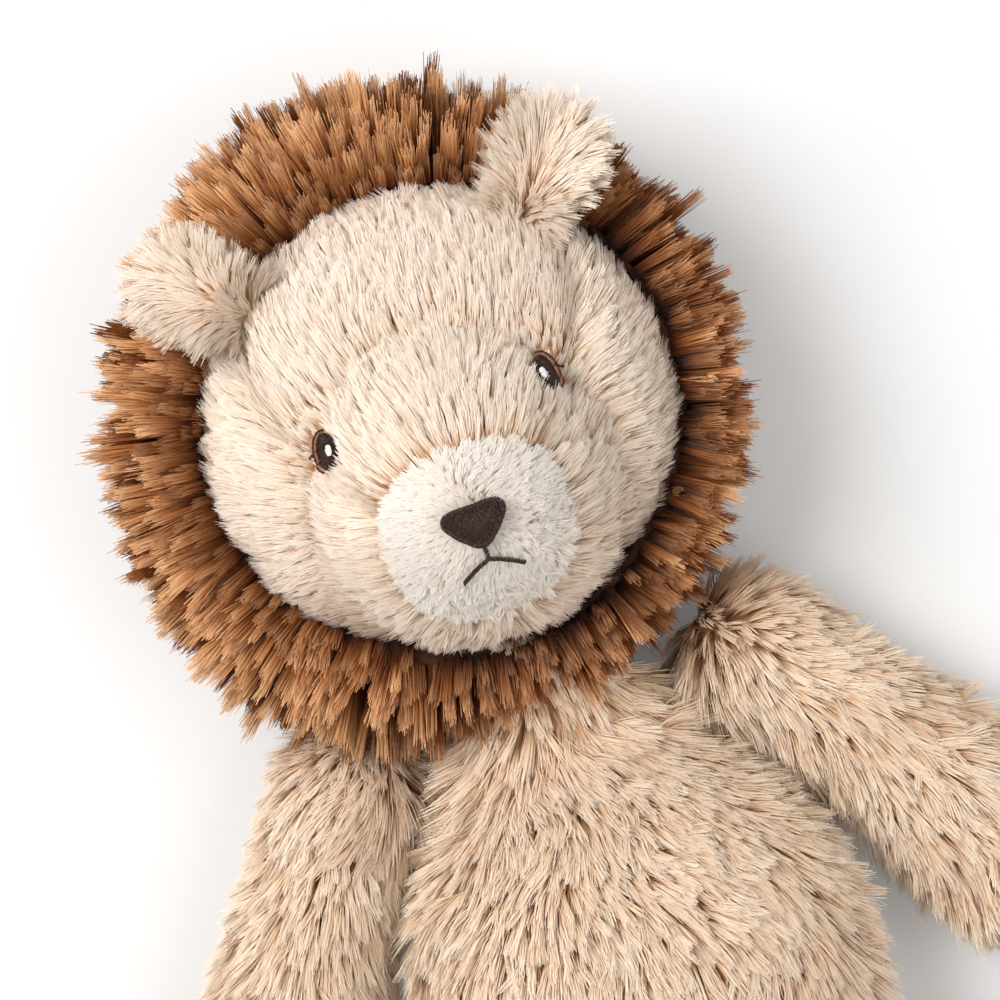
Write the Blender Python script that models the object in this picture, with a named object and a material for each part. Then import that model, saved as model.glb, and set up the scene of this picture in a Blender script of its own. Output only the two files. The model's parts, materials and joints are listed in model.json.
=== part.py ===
"""A plush lion that lies on its back, face up, with its head toward +Y. Metres, +Z up.

The toy is built from the pieces that are cut and sewn: face panels, mane, ears, torso and
limb panels, embroidery, and the filling inside them. Every panel's outer face is the mean
height of its pile. The head, arms, legs and tail each hang on an empty on their joint.
"""

import math

import bmesh
import bpy
import numpy as np
from mathutils import Vector

MM = 0.001

# Clearances
GAP = 0.3 * MM
SEAM_GAP = 0.4 * MM
CORE_GAP = 1.5 * MM
RIM_GAP = 1.2 * MM
SIDE_GAP = 0.4 * MM
SOCKET_GAP = 0.8 * MM
FLAT_DEPTH = 0.5 * MM

# Head
SKULL_HALF_WIDTH = 76 * MM
SKULL_HALF_LENGTH = 74 * MM
SKULL_FRONT = 56 * MM
SKULL_BACK = 40 * MM
SKULL_DROP = 6 * MM
FACE_SKIN = 8 * MM
FACE_RIM_ANGLE = math.radians(80)
NAPE_RIM_ANGLE = math.radians(100)

# Mane, round the head
MANE_RADIUS = 100 * MM
MANE_CREST = 72 * MM
HOOD_THICKNESS = 6 * MM

# Muzzle, its white patch and the embroidery on it
MUZZLE_HALF_WIDTH = 45 * MM
MUZZLE_HALF_LENGTH = 50 * MM
MUZZLE_DROP = 28 * MM
MUZZLE_RISE = 27 * MM
PATCH_HALF_WIDTH = 29 * MM
PATCH_HALF_LENGTH = 26 * MM
PATCH_DROP = 39 * MM
NOSE_WIDTH = 19 * MM
NOSE_LENGTH = 14 * MM
NOSE_DROP = 27 * MM
MOUTH_DROP = 46.5 * MM
MOUTH_HALF_WIDTH = 9.6 * MM
MOUTH_FALL = 4.4 * MM
STITCH_WIDTH = 1.3 * MM
STITCH_HEIGHT = 1.2 * MM
STITCH_SEAT = 0.8 * MM

# Eyes
EYE_HALF_WIDTH = 2.9 * MM
EYE_HALF_LENGTH = 5.9 * MM
EYE_X = 35 * MM
EYE_RISE = 2.5 * MM
GLINT_HALF_WIDTH = 0.9 * MM
GLINT_HALF_LENGTH = 1.9 * MM
EYE_SEAT = 1.6 * MM

# Ears
EAR_HALF_WIDTH = 21 * MM
EAR_HEIGHT = 34 * MM
EAR_LAYER = 6 * MM
EAR_CUP = 7 * MM
EAR_ROOT_RADIUS = 62 * MM
EAR_ROOT_HEIGHT = 82 * MM
EAR_TUCK = 12 * MM
EAR_TURN = math.radians(46)
EAR_LEAN = math.radians(12)
EAR_ROOT_SHARE = 0.9
EAR_EDGE_SHARE = 0.12
EAR_ROUNDNESS = 0.75

# Neck and torso
NECK_RADIUS = 32 * MM
NECK_HEIGHT = 34 * MM
NECK_TUCK = 8 * MM
HEAD_NOD = math.radians(30)
TORSO_LENGTH = 168 * MM
TORSO_HALF_WIDTH = 73 * MM
TORSO_HALF_HEIGHT = 43 * MM
TORSO_SKIN = 9 * MM

# Arms
ARM_RADIUS = 27.5 * MM
ARM_LENGTH = 136 * MM
ARM_HEADING = math.radians(38)
HAND_HEADING = math.radians(22)
ARM_SKIN = 8 * MM
SHOULDER_X = 69 * MM
SHOULDER_CLEARANCE = 1.5 * MM
ARM_LIFT = math.radians(80)

# Legs
LEG_RADIUS = 32 * MM
LEG_LENGTH = 140 * MM
LEG_HEADING = math.radians(14)
LEG_SKIN = 8 * MM
HIP_X = 46 * MM
HIP_INSET = 2 * MM
LEG_LIFT = math.radians(80)

# Tail
TAIL_RADIUS = 8 * MM
TAIL_LENGTH = 96 * MM
TAIL_BEND = math.radians(9)
TAIL_INSET = 5 * MM
TUFT_RADIUS = 15 * MM
TUFT_LENGTH = 54 * MM

# Fullness of the face and of the muzzle: 2 is an ellipsoid, more is fuller
FACE_FULLNESS = 2.4
MUZZLE_FULLNESS = 2.6
MUZZLE_EDGE = 1.3

# Crest of the mane: how far from the face's rim to MANE_RADIUS, then height over MANE_CREST
RING_CREST_SHARES = ((0.07, 0.90), (0.34, 1.0), (0.68, 0.96), (0.92, 0.79), (1.0, 0.57))

# Foot of the mane's ring, then its hood: radius over MANE_RADIUS and height over MANE_CREST
RING_FOOT_SHARES = (0.985, 0.5)
HOOD_SHARES = ((0.955, 0.32), (0.87, 0.14), (0.74, 0.045), (0.55, 0.004), (0.34, 0.0))

# Torso beyond the neck: length, half width and half height, each as a share of the whole
TORSO_SHARES = (
    (0.06, 0.465, 0.70),
    (0.115, 0.53, 0.59),
    (0.18, 0.62, 0.685),
    (0.25, 0.74, 0.79),
    (0.335, 0.86, 0.89),
    (0.44, 0.95, 0.96),
    (0.60, 1.0, 1.0),
    (0.75, 0.985, 1.0),
    (0.86, 0.90, 0.93),
    (0.935, 0.74, 0.77),
    (0.98, 0.49, 0.51),
)

# Between these shares of the length the torso's middle rises from the neck's to the belly's
TORSO_RISE_SHARES = (0.115, 0.44)

# Arm and leg: distance along the limb as a share of its length, then half width,
# half height and the height of the centre as shares of the root's radius
ARM_SHARES = (
    (0.0, 1.0, 1.0, 1.0),
    (0.20, 0.97, 0.97, 0.97),
    (0.42, 1.0, 0.94, 0.94),
    (0.62, 1.10, 0.97, 0.97),
    (0.78, 1.13, 0.98, 0.98),
)
LEG_SHARES = (
    (0.0, 1.0, 1.0, 1.0),
    (0.24, 0.98, 0.96, 0.96),
    (0.48, 0.94, 0.92, 0.92),
    (0.68, 0.95, 1.03, 1.03),
    (0.84, 1.0, 1.19, 1.19),
)
TAIL_SHARES = ((0.0, 1.0, 1.0, 1.0), (0.5, 0.97, 0.97, 0.97), (0.96, 0.9, 0.9, 0.9))

# Tuft: distance as a share of its length, and radius as a share of TUFT_RADIUS
TUFT_SHARES = ((0.0, 0.46), (0.16, 0.74), (0.4, 0.97), (0.62, 1.0), (0.82, 0.8), (0.95, 0.45), (1.0, 0))

# Outline of the nose: x as a share of half its width, y as a share of its length
NOSE_SHARES = (
    (0.0, 0.0), (0.55, 0.02), (0.9, 0.12), (1.0, 0.3), (0.86, 0.5), (0.5, 0.76), (0.2, 0.95),
    (0.0, 1.0), (-0.2, 0.95), (-0.5, 0.76), (-0.86, 0.5), (-1.0, 0.3), (-0.9, 0.12), (-0.55, 0.02),
)

# Where the seams leave the muzzle patch and reach the face's rim, and how they bend
PATCH_SEAM_TURN = math.radians(25)
RIM_SEAM_TURN = math.radians(48)
SEAM_BEND_SHARES = (-0.08, -0.27)

EAR_ROWS = 6
EAR_COLUMNS = 8
FACE_ROWS = 9
FACE_COLUMNS = 10
PATCH_RINGS = 4
HEAD_ROWS = 18
ROUND_SIDES = 28
MANE_SIDES = 36
BALL_SIDES = 32
LIMB_SIDES = 16
TORSO_SIDES = 24
CAP_ROWS = 3

# How many of the torso's last rings the pouch of pellets fills
POUCH_RINGS = 5

HEAD_CENTRE_HEIGHT = SKULL_BACK + HOOD_THICKNESS
SKULL_CENTRE = Vector((0, -SKULL_DROP, HEAD_CENTRE_HEIGHT))
NECK_CENTRE = Vector((0, NECK_TUCK - MANE_RADIUS, NECK_HEIGHT))
SHOULDER_REACH = MANE_RADIUS + ARM_RADIUS + SHOULDER_CLEARANCE
SHOULDER_Y = -math.sqrt(SHOULDER_REACH**2 - SHOULDER_X**2)
SHOULDER = Vector((SHOULDER_X, SHOULDER_Y, ARM_RADIUS - FLAT_DEPTH))
TORSO_END_Y = NECK_CENTRE.y - TORSO_LENGTH
HIP = Vector((HIP_X, TORSO_END_Y - HIP_INSET, LEG_RADIUS - FLAT_DEPTH))
TAIL_ROOT = Vector((0, TORSO_END_Y + TAIL_INSET, TAIL_RADIUS - FLAT_DEPTH))

COLOURS = {
    "beige_plush": ((0.79, 0.60, 0.42), 0.95),
    "cream_plush": ((0.86, 0.72, 0.55), 0.95),
    "white_plush": ((0.90, 0.88, 0.85), 0.95),
    "mane_plush": ((0.36, 0.16, 0.06), 0.95),
    "brown_thread": ((0.06, 0.025, 0.015), 0.6),
    "white_thread": ((0.92, 0.92, 0.90), 0.6),
    "polyester_filling": ((0.93, 0.93, 0.93), 1.0),
    "cotton_pouch": ((0.80, 0.77, 0.70), 0.9),
}


def clear_scene():
    """Empty the scene and take out the data that its objects leave."""
    for thing in list(bpy.data.objects):
        bpy.data.objects.remove(thing, do_unlink=True)
    for mesh in list(bpy.data.meshes):
        bpy.data.meshes.remove(mesh)


def make_material(node, finish):
    """A sub-part's own material, in one of the toy's finishes."""
    colour, roughness = COLOURS[finish]
    material = bpy.data.materials.new(f"{node}_{finish}")
    material.use_nodes = True
    shader = material.node_tree.nodes["Principled BSDF"]
    shader.inputs["Base Color"].default_value = (*colour, 1)
    shader.inputs["Roughness"].default_value = roughness
    return material


def make_pivot(name, place):
    """An empty on a joint's axis, which carries what moves."""
    pivot = bpy.data.objects.new(name, None)
    pivot.location = place
    bpy.context.scene.collection.objects.link(pivot)
    return pivot


def rows_of_faces(low, high, wraps):
    """Faces between two rows of vertices; a row of one vertex is a pole."""
    count = max(len(low), len(high))
    spans = count if wraps else count - 1
    faces = []
    for k in range(spans):
        after = (k + 1) % count
        if len(low) == 1:
            faces.append((low[0], high[k], high[after]))
        elif len(high) == 1:
            faces.append((low[k], low[after], high[0]))
        else:
            faces.append((low[k], low[after], high[after], high[k]))
    return faces


def finish_mesh(node, bm, finish, pivot, smooth_angle=math.radians(50)):
    """Turn a closed bmesh, in the toy's coordinates, into a node on its pivot."""
    bmesh.ops.recalc_face_normals(bm, faces=bm.faces)
    origin = pivot.location
    bmesh.ops.translate(bm, verts=bm.verts, vec=-origin)
    mesh = bpy.data.meshes.new(node)
    bm.to_mesh(mesh)
    bm.free()
    mesh.shade_smooth()
    mesh.set_sharp_from_angle(angle=smooth_angle)
    thing = bpy.data.objects.new(node, mesh)
    thing.parent = pivot
    mesh.materials.append(make_material(node, finish))
    bpy.context.scene.collection.objects.link(thing)
    return thing


def add_rows(bm, rows):
    """Put rows of points into a bmesh and give back their vertices, row by row."""
    return [[bm.verts.new(point) for point in row] for row in rows]


def solid_mesh(rows):
    """A closed solid through rings of points; an end that isn't a pole gets a flat cap."""
    bm = bmesh.new()
    rings = add_rows(bm, rows)
    for low, high in zip(rings, rings[1:]):
        for face in rows_of_faces(low, high, True):
            bm.faces.new(face)
    for end in (rings[0], rings[-1]):
        if len(end) > 1:
            bm.faces.new(end)
    return bm


def shell_mesh(outer, inner, wraps):
    """A closed shell between two matching grids of points, walled at each open edge."""
    bm = bmesh.new()
    skin = add_rows(bm, outer)
    lining = add_rows(bm, inner)
    for grid in (skin, lining):
        for low, high in zip(grid, grid[1:]):
            for face in rows_of_faces(low, high, wraps):
                bm.faces.new(face)
    for end in (0, -1):
        if len(skin[end]) > 1:
            for face in rows_of_faces(skin[end], lining[end], wraps):
                bm.faces.new(face)
    if not wraps:
        for side in (0, -1):
            for k in range(len(skin) - 1):
                rim = (skin[k][side], skin[k + 1][side], lining[k + 1][side], lining[k][side])
                bm.faces.new(rim)
    return bm


def aim(x, y):
    """The skull's unit direction whose front surface lies over a place in its own x and y."""
    across = x / SKULL_HALF_WIDTH
    along = y / SKULL_HALF_LENGTH
    return Vector((across, along, math.sqrt(max(0.0, 1 - across**2 - along**2))))


def polar(angle, turn):
    """A unit direction at an angle from +Z, turned about it from +X."""
    return Vector((math.sin(angle) * math.cos(turn), math.sin(angle) * math.sin(turn), math.cos(angle)))


def head_point(direction, depth):
    """The head's surface at a unit direction and a depth below the pile, muzzle included."""
    x = direction.x * (SKULL_HALF_WIDTH - depth)
    y = direction.y * (SKULL_HALF_LENGTH - depth)
    if direction.z <= 0:
        return SKULL_CENTRE + Vector((x, y, direction.z * (SKULL_BACK - depth)))
    spread = math.hypot(direction.x, direction.y)
    z = (SKULL_FRONT - depth) * (1 - min(1.0, spread) ** FACE_FULLNESS) ** (1 / FACE_FULLNESS)
    reach = math.hypot(x / MUZZLE_HALF_WIDTH, (y + MUZZLE_DROP) / MUZZLE_HALF_LENGTH)
    z += MUZZLE_RISE * max(0.0, 1 - reach**MUZZLE_FULLNESS) ** MUZZLE_EDGE
    return SKULL_CENTRE + Vector((x, y, z))


def patch_edge(turn):
    """The direction of the muzzle patch's edge."""
    x = PATCH_HALF_WIDTH * math.cos(turn)
    y = PATCH_HALF_LENGTH * math.sin(turn) - PATCH_DROP
    return aim(x, y)


def face_panel(node, patch_turns, rim_turns, bends, pivot):
    """One panel of the face, from the muzzle patch out to the rim, between two bent seams."""
    columns = []
    for k in range(FACE_COLUMNS + 1):
        share = k / FACE_COLUMNS
        start = patch_edge(patch_turns[0] + share * (patch_turns[1] - patch_turns[0]))
        end = polar(FACE_RIM_ANGLE, rim_turns[0] + share * (rim_turns[1] - rim_turns[0]))
        bend = bends[0] * max(0.0, 1 - 2 * share) + bends[1] * max(0.0, 2 * share - 1)
        columns.append((start, (start + end) / 2 + bend, end))
    outer, inner = [], []
    for k in range(FACE_ROWS + 1):
        share = k / FACE_ROWS
        row = []
        for start, middle, end in columns:
            place = start * (1 - share) ** 2 + middle * 2 * share * (1 - share) + end * share**2
            row.append(place.normalized())
        outer.append([head_point(direction, 0) for direction in row])
        inner.append([head_point(direction, FACE_SKIN) for direction in row])
    for grid in (outer, inner):
        pull_in(grid)
    return finish_mesh(node, shell_mesh(outer, inner, False), "cream_plush", pivot)


def pull_in(grid):
    """Draw a grid's four edges inward by half a seam's gap."""
    step = SEAM_GAP / 2
    for row in grid:
        row[0] = row[0] + (row[1] - row[0]).normalized() * step
        row[-1] = row[-1] + (row[-2] - row[-1]).normalized() * step
    for k in range(len(grid[0])):
        grid[0][k] = grid[0][k] + (grid[1][k] - grid[0][k]).normalized() * step
        grid[-1][k] = grid[-1][k] + (grid[-2][k] - grid[-1][k]).normalized() * step


def disc_grid(centre, edge, rings, depth):
    """Rings of points on the head, from a centre's direction out to an edge of directions."""
    grid = [[head_point(centre, depth)]]
    for k in range(1, rings + 1):
        share = k / rings
        grid.append([head_point((centre.lerp(place, share)).normalized(), depth) for place in edge])
    return grid


def pad_on_head(node, centre, edge, rings, depths, finish, pivot):
    """A thin closed pad that follows the head between two depths."""
    outer = disc_grid(centre, edge, rings, depths[0])
    inner = disc_grid(centre, edge, rings, depths[1])
    return finish_mesh(node, shell_mesh(outer, inner, True), finish, pivot)


def muzzle_patch(pivot):
    """The short white pile that covers the front of the muzzle."""
    shrink = 1 - SEAM_GAP / PATCH_HALF_LENGTH
    centre = aim(0, -PATCH_DROP)
    edge = []
    for k in range(2 * FACE_COLUMNS):
        turn = 2 * math.pi * k / (2 * FACE_COLUMNS)
        edge.append(centre.lerp(patch_edge(turn), shrink))
    depths = (0, FACE_SKIN)
    return pad_on_head("muzzle_patch", centre, edge, PATCH_RINGS, depths, "white_plush", pivot)


def nose(pivot):
    """The nose, a rounded triangle of satin stitches."""
    edge = [aim(x * NOSE_WIDTH / 2, -NOSE_DROP - y * NOSE_LENGTH) for x, y in NOSE_SHARES]
    centre = aim(0, -NOSE_DROP - NOSE_LENGTH / 2)
    depths = (-STITCH_SEAT - STITCH_HEIGHT, -STITCH_SEAT)
    return pad_on_head("nose_embroidery", centre, edge, 2, depths, "brown_thread", pivot)


def mouth(pivot):
    """The line below the nose and the two lines of the mouth, as one stitched cord."""
    fork = Vector((0, -MOUTH_DROP))
    top = Vector((0, -NOSE_DROP - NOSE_LENGTH - GAP - STITCH_WIDTH / 2))
    corners = [Vector((side * MOUTH_HALF_WIDTH, -MOUTH_DROP - MOUTH_FALL)) for side in (-1, 1)]
    arms = [top, corners[0], corners[1]]
    turns = [math.atan2(*reversed((end - fork)[:])) for end in arms]
    outline = []
    for k, end in enumerate(arms):
        along = (end - fork).normalized()
        left = Vector((-along.y, along.x)) * STITCH_WIDTH / 2
        for share in (0.5, 1.0):
            outline.append(fork.lerp(end, share) - left)
        for share in (1.0, 0.5):
            outline.append(fork.lerp(end, share) + left)
        between = turns[k] + ((turns[(k + 1) % 3] - turns[k]) % (2 * math.pi)) / 2
        spread = math.sin(((turns[(k + 1) % 3] - turns[k]) % (2 * math.pi)) / 2)
        reach = STITCH_WIDTH / 2 / spread
        outline.append(fork + Vector((math.cos(between), math.sin(between))) * reach)
    bm = bmesh.new()
    layers = []
    for depth in (-STITCH_SEAT - STITCH_HEIGHT, -STITCH_SEAT):
        layers.append([bm.verts.new(head_point(aim(x, y), depth)) for x, y in outline])
    count = len(outline)
    for layer in layers:
        for k in range(3):
            first = 5 * k
            bm.faces.new([layer[first + n] for n in (0, 1, 2, 3)])
            before = layer[first - 1]
            bm.faces.new([before, layer[first], layer[first + 3], layer[first + 4]])
        bm.faces.new([layer[4], layer[9], layer[14]])
    for k in range(count):
        after = (k + 1) % count
        bm.faces.new([layers[0][k], layers[0][after], layers[1][after], layers[1][k]])
    return finish_mesh("mouth_embroidery", bm, "brown_thread", pivot)


def oval_edge(x, y, half_width, half_length, sides):
    """Directions round an oval on the face."""
    turns = [2 * math.pi * k / sides for k in range(sides)]
    return [aim(x + half_width * math.cos(turn), y + half_length * math.sin(turn)) for turn in turns]


def eye(side, name, pivot):
    """An embroidered eye and the glint on its inner side."""
    x = side * EYE_X
    edge = oval_edge(x, EYE_RISE, EYE_HALF_WIDTH, EYE_HALF_LENGTH, LIMB_SIDES)
    top = -EYE_SEAT - STITCH_HEIGHT
    depths = (top, -EYE_SEAT)
    pad_on_head(f"eye_{name}", aim(x, EYE_RISE), edge, 2, depths, "brown_thread", pivot)
    x -= side * EYE_HALF_WIDTH / 3
    y = EYE_RISE + EYE_HALF_LENGTH / 3
    edge = oval_edge(x, y, GLINT_HALF_WIDTH, GLINT_HALF_LENGTH, LIMB_SIDES // 2)
    depths = (top - GAP - STITCH_HEIGHT / 2, top - GAP)
    pad_on_head(f"eye_glint_{name}", aim(x, y), edge, 1, depths, "white_thread", pivot)


def head_form(depth, rows, sides):
    """Rings of points round the whole head at a depth below the pile."""
    grid = [[head_point(Vector((0, 0, 1)), depth)]]
    for k in range(1, rows):
        angle = math.pi * k / rows
        turns = [2 * math.pi * n / sides for n in range(sides)]
        grid.append([head_point(polar(angle, turn), depth) for turn in turns])
    grid.append([head_point(Vector((0, 0, -1)), depth)])
    return grid


def mane_place(radius, height, turn):
    """A point of the mane at a radius from its own centre."""
    return Vector((radius * math.cos(turn), radius * math.sin(turn), height))


def crest_place(share, height, turn):
    """A point of the mane's crest, part of the way from the face's rim to its outer edge."""
    rim = head_point(polar(math.pi / 2, turn), 0)
    edge = mane_place(MANE_RADIUS, 0, turn)
    place = rim.lerp(edge, share)
    return Vector((place.x, place.y, height))


def mane_ring(pivot):
    """The front of the mane, a thick ring of long pile sewn to the face's rim."""
    columns = []
    for k in range(MANE_SIDES):
        turn = 2 * math.pi * k / MANE_SIDES
        rim = FACE_RIM_ANGLE + RIM_GAP / SKULL_FRONT
        nape = NAPE_RIM_ANGLE - SEAM_GAP / SKULL_BACK
        column = [head_point(polar(rim, turn), depth) for depth in (FACE_SKIN, 0)]
        for share, height in RING_CREST_SHARES:
            column.append(crest_place(share, MANE_CREST * height, turn))
        radius, height = RING_FOOT_SHARES
        column.append(mane_place(MANE_RADIUS * radius, MANE_CREST * height + SEAM_GAP / 2, turn))
        column.extend(head_point(polar(nape, turn), depth) for depth in (0, FACE_SKIN))
        columns.append(column)
    bm = bmesh.new()
    rings = add_rows(bm, columns)
    for k, ring in enumerate(rings):
        for face in rows_of_faces(ring, rings[(k + 1) % len(rings)], True):
            bm.faces.new(face)
    return finish_mesh("mane_ring", bm, "mane_plush", pivot)


def mane_hood(pivot):
    """The back of the head, cut from the mane's pile and pressed flat under its weight."""
    turns = [2 * math.pi * k / MANE_SIDES for k in range(MANE_SIDES)]
    nape = NAPE_RIM_ANGLE + SEAM_GAP / SKULL_BACK
    outer = [[Vector((0, 0, 0))]]
    for radius, height in reversed(HOOD_SHARES):
        outer.append([mane_place(MANE_RADIUS * radius, MANE_CREST * height, turn) for turn in turns])
    radius, height = RING_FOOT_SHARES
    height = MANE_CREST * height - SEAM_GAP / 2
    outer.append([mane_place(MANE_RADIUS * radius, height, turn) for turn in turns])
    inner = [[head_point(Vector((0, 0, -1)), 0)]]
    steps = len(HOOD_SHARES)
    for k in range(steps + 1):
        angle = math.pi - (math.pi - nape) * (k + 1) / (steps + 1)
        inner.append([head_point(polar(angle, turn), 0) for turn in turns])
    bm = shell_mesh(outer, inner, True)
    return finish_mesh("mane_hood", bm, "mane_plush", pivot)


def ear_grid(side, low, high):
    """One face of an ear: rows from its tucked root to its round tip, cupped across."""
    root_turn = math.pi / 2 - side * (math.pi / 2 - EAR_TURN)
    out = Vector((math.cos(root_turn), math.sin(root_turn), 0))
    across = Vector((-out.y, out.x, 0))
    along = out * math.cos(EAR_LEAN) + Vector((0, 0, math.sin(EAR_LEAN)))
    facing = along.cross(across)
    facing *= math.copysign(1, facing.z)
    root = out * EAR_ROOT_RADIUS + Vector((0, 0, EAR_ROOT_HEIGHT))
    outline = [(-EAR_TUCK, EAR_HALF_WIDTH * EAR_ROOT_SHARE), (0, EAR_HALF_WIDTH)]
    for k in range(1, EAR_ROWS + 1):
        angle = math.pi / 2 * k / EAR_ROWS
        outline.append((EAR_HEIGHT * math.sin(angle), EAR_HALF_WIDTH * math.cos(angle) ** EAR_ROUNDNESS))
    grid = []
    for reach, half in outline:
        row = []
        plump = math.sqrt(max(EAR_EDGE_SHARE, 1 - (max(0.0, reach) / EAR_HEIGHT) ** 2))
        for n in range(EAR_COLUMNS + 1):
            place = 2 * n / EAR_COLUMNS - 1
            rise = EAR_CUP * (half * place / EAR_HALF_WIDTH) ** 2
            thick = low + (high - low) * plump * math.sqrt(max(EAR_EDGE_SHARE, 1 - place**2))
            row.append(root + along * reach + across * half * place + facing * (rise + thick))
        grid.append(row)
    grid[-1] = [grid[-1][EAR_COLUMNS // 2]]
    return grid


def ear(side, name, cutter, pivot):
    """An ear sewn from a front and a back layer, its root cut to the head's surface."""
    seam = ear_grid(side, SEAM_GAP / 2, SEAM_GAP / 2)
    front = ear_grid(side, SEAM_GAP / 2, EAR_LAYER)
    seam_back = ear_grid(side, -SEAM_GAP / 2, -SEAM_GAP / 2)
    back = ear_grid(side, -SEAM_GAP / 2, -EAR_LAYER)
    for layer, outer, inner in (("front", front, seam), ("back", back, seam_back)):
        bm = shell_mesh(outer, inner, False)
        thing = finish_mesh(f"ear_{layer}_{name}", bm, "cream_plush", pivot)
        cut(thing, [cutter])


def surface_normals(rows):
    """Outward normals of a closed form given as rings between two poles."""
    count = max(len(row) for row in rows)
    full = [row if len(row) > 1 else row * count for row in rows]
    points = np.array([[list(point) for point in row] for row in full])
    around = np.roll(points, -1, axis=1) - np.roll(points, 1, axis=1)
    along = np.zeros_like(points)
    along[1:-1] = points[2:] - points[:-2]
    normals = np.cross(around, along)
    for end, inner in ((0, 1), (-1, -2)):
        normals[end] = points[end] - points[inner].mean(axis=0)
    normals = normals / np.linalg.norm(normals, axis=2, keepdims=True)
    outward = points - points.mean(axis=1, keepdims=True)
    middle = len(rows) // 2
    if (normals[middle] * outward[middle]).sum() < 0:
        normals[1:-1] = -normals[1:-1]
    return normals


def offset_rows(rows, depth):
    """The same rings moved in by a depth, or out where it is negative."""
    normals = surface_normals(rows)
    moved = []
    for row, directions in zip(rows, normals):
        moved.append([point - Vector(normal) * depth for point, normal in zip(row, directions)])
    return moved


def cut_flat(bm):
    """Cut a form flat where it rests: what lies below the ground goes, and the cut is closed."""
    parts = bm.verts[:] + bm.edges[:] + bm.faces[:]
    ground = Vector((0, 0, 0))
    down = Vector((0, 0, -1))
    result = bmesh.ops.bisect_plane(bm, geom=parts, plane_co=ground, plane_no=down, clear_outer=True)
    rim = [part for part in result["geom_cut"] if isinstance(part, bmesh.types.BMEdge)]
    bmesh.ops.holes_fill(bm, edges=rim)
    return bm


def half_rows(rows, upper, sides):
    """The upper or lower half of a form's rings, drawn back from the side seam."""
    shift = Vector((0, 0, SEAM_GAP / 2 if upper else -SEAM_GAP / 2))
    first = 0 if upper else sides // 2
    halves = []
    for row in rows:
        if len(row) == 1:
            halves.append([row[0] + shift])
            continue
        part = [row[(first + k) % sides].copy() for k in range(sides // 2 + 1)]
        part[0] += shift
        part[-1] += shift
        halves.append(part)
    return halves


def sew_form(names, rows, skin, sides, finish, pivot):
    """The upper and lower panels of a stuffed form."""
    inner = offset_rows(rows, skin)
    panels = []
    for name, upper in zip(names, (True, False)):
        bm = shell_mesh(half_rows(rows, upper, sides), half_rows(inner, upper, sides), False)
        panels.append(finish_mesh(name, cut_flat(bm), finish, pivot))
    return panels


def ring_at(centre, across, half_width, half_height, sides):
    """One ring of a form: an upright oval across its spine."""
    turns = [2 * math.pi * k / sides for k in range(sides)]
    up = Vector((0, 0, half_height))
    return [centre + across * half_width * math.cos(turn) + up * math.sin(turn) for turn in turns]


def cap_angles(first_half):
    """Angles of a round end's rings, from its pole to its full size or back."""
    steps = [math.pi / 2 * k / (CAP_ROWS + 1) for k in range(1, CAP_ROWS + 1)]
    return steps if first_half else [math.pi - step for step in reversed(steps)]


def torso_rows():
    """Rings of the torso, from the round neck stump to the seat."""
    across = Vector((1, 0, 0))
    rows = [[NECK_CENTRE + Vector((0, NECK_RADIUS, 0))]]
    for angle in cap_angles(True) + [math.pi / 2]:
        centre = NECK_CENTRE + Vector((0, NECK_RADIUS * math.cos(angle), 0))
        size = NECK_RADIUS * math.sin(angle)
        rows.append(ring_at(centre, across, size, size, TORSO_SIDES))
    belly = TORSO_HALF_HEIGHT - FLAT_DEPTH
    collar, chest = TORSO_RISE_SHARES
    for along, wide, tall in TORSO_SHARES:
        blend = min(1.0, max(0.0, along - collar) / (chest - collar))
        height = NECK_HEIGHT + (belly - NECK_HEIGHT) * blend
        centre = Vector((0, NECK_CENTRE.y - TORSO_LENGTH * along, height))
        rows.append(
            ring_at(centre, across, TORSO_HALF_WIDTH * wide, TORSO_HALF_HEIGHT * tall, TORSO_SIDES)
        )
    rows.append([Vector((0, TORSO_END_Y, belly))])
    return rows


def limb_place(root, heading, turn_rate, distance):
    """A place along a limb that leaves its root at a heading and bends steadily."""
    if distance < 0 or turn_rate == 0:
        x = math.sin(heading) * distance
        y = math.cos(heading) * distance
        bearing = heading
    else:
        bearing = heading + turn_rate * distance
        x = (math.cos(heading) - math.cos(bearing)) / turn_rate
        y = (math.sin(bearing) - math.sin(heading)) / turn_rate
    across = Vector((math.cos(bearing), math.sin(bearing), 0))
    return root + Vector((x, -y, 0)), across


def limb_rows(root, radius, length, headings, shares, end_share):
    """Rings of an arm or leg: a ball at the root, the stations of its shares, a round end."""
    rate = (headings[1] - headings[0]) / length
    start, _ = limb_place(root, headings[0], rate, -radius)
    rows = [[start]]
    for angle in cap_angles(True):
        centre, across = limb_place(root, headings[0], rate, -radius * math.cos(angle))
        size = radius * math.sin(angle)
        rows.append(ring_at(centre, across, size, size, LIMB_SIDES))
    for along, wide, tall, height in shares:
        centre, across = limb_place(root, headings[0], rate, length * along)
        centre.z = radius * height - FLAT_DEPTH
        rows.append(ring_at(centre, across, radius * wide, radius * tall, LIMB_SIDES))
    along, wide, tall, height = shares[-1]
    cap = length * (end_share - along)
    for angle in cap_angles(False):
        centre, across = limb_place(root, headings[0], rate, length * along - cap * math.cos(angle))
        centre.z = radius * height - FLAT_DEPTH
        size = radius * math.sin(angle)
        rows.append(ring_at(centre, across, size * wide, size * tall, LIMB_SIDES))
    end, _ = limb_place(root, headings[0], rate, length * end_share)
    end.z = radius * height - FLAT_DEPTH
    rows.append([end])
    return rows


def mirrored(rows):
    """The same rings on the toy's other side, still turning the same way."""
    flipped = []
    for row in rows:
        points = [Vector((-point.x, point.y, point.z)) for point in row]
        half = len(points) // 2
        flipped.append([points[(half - k) % len(points)] for k in range(len(points))])
    return flipped


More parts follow.
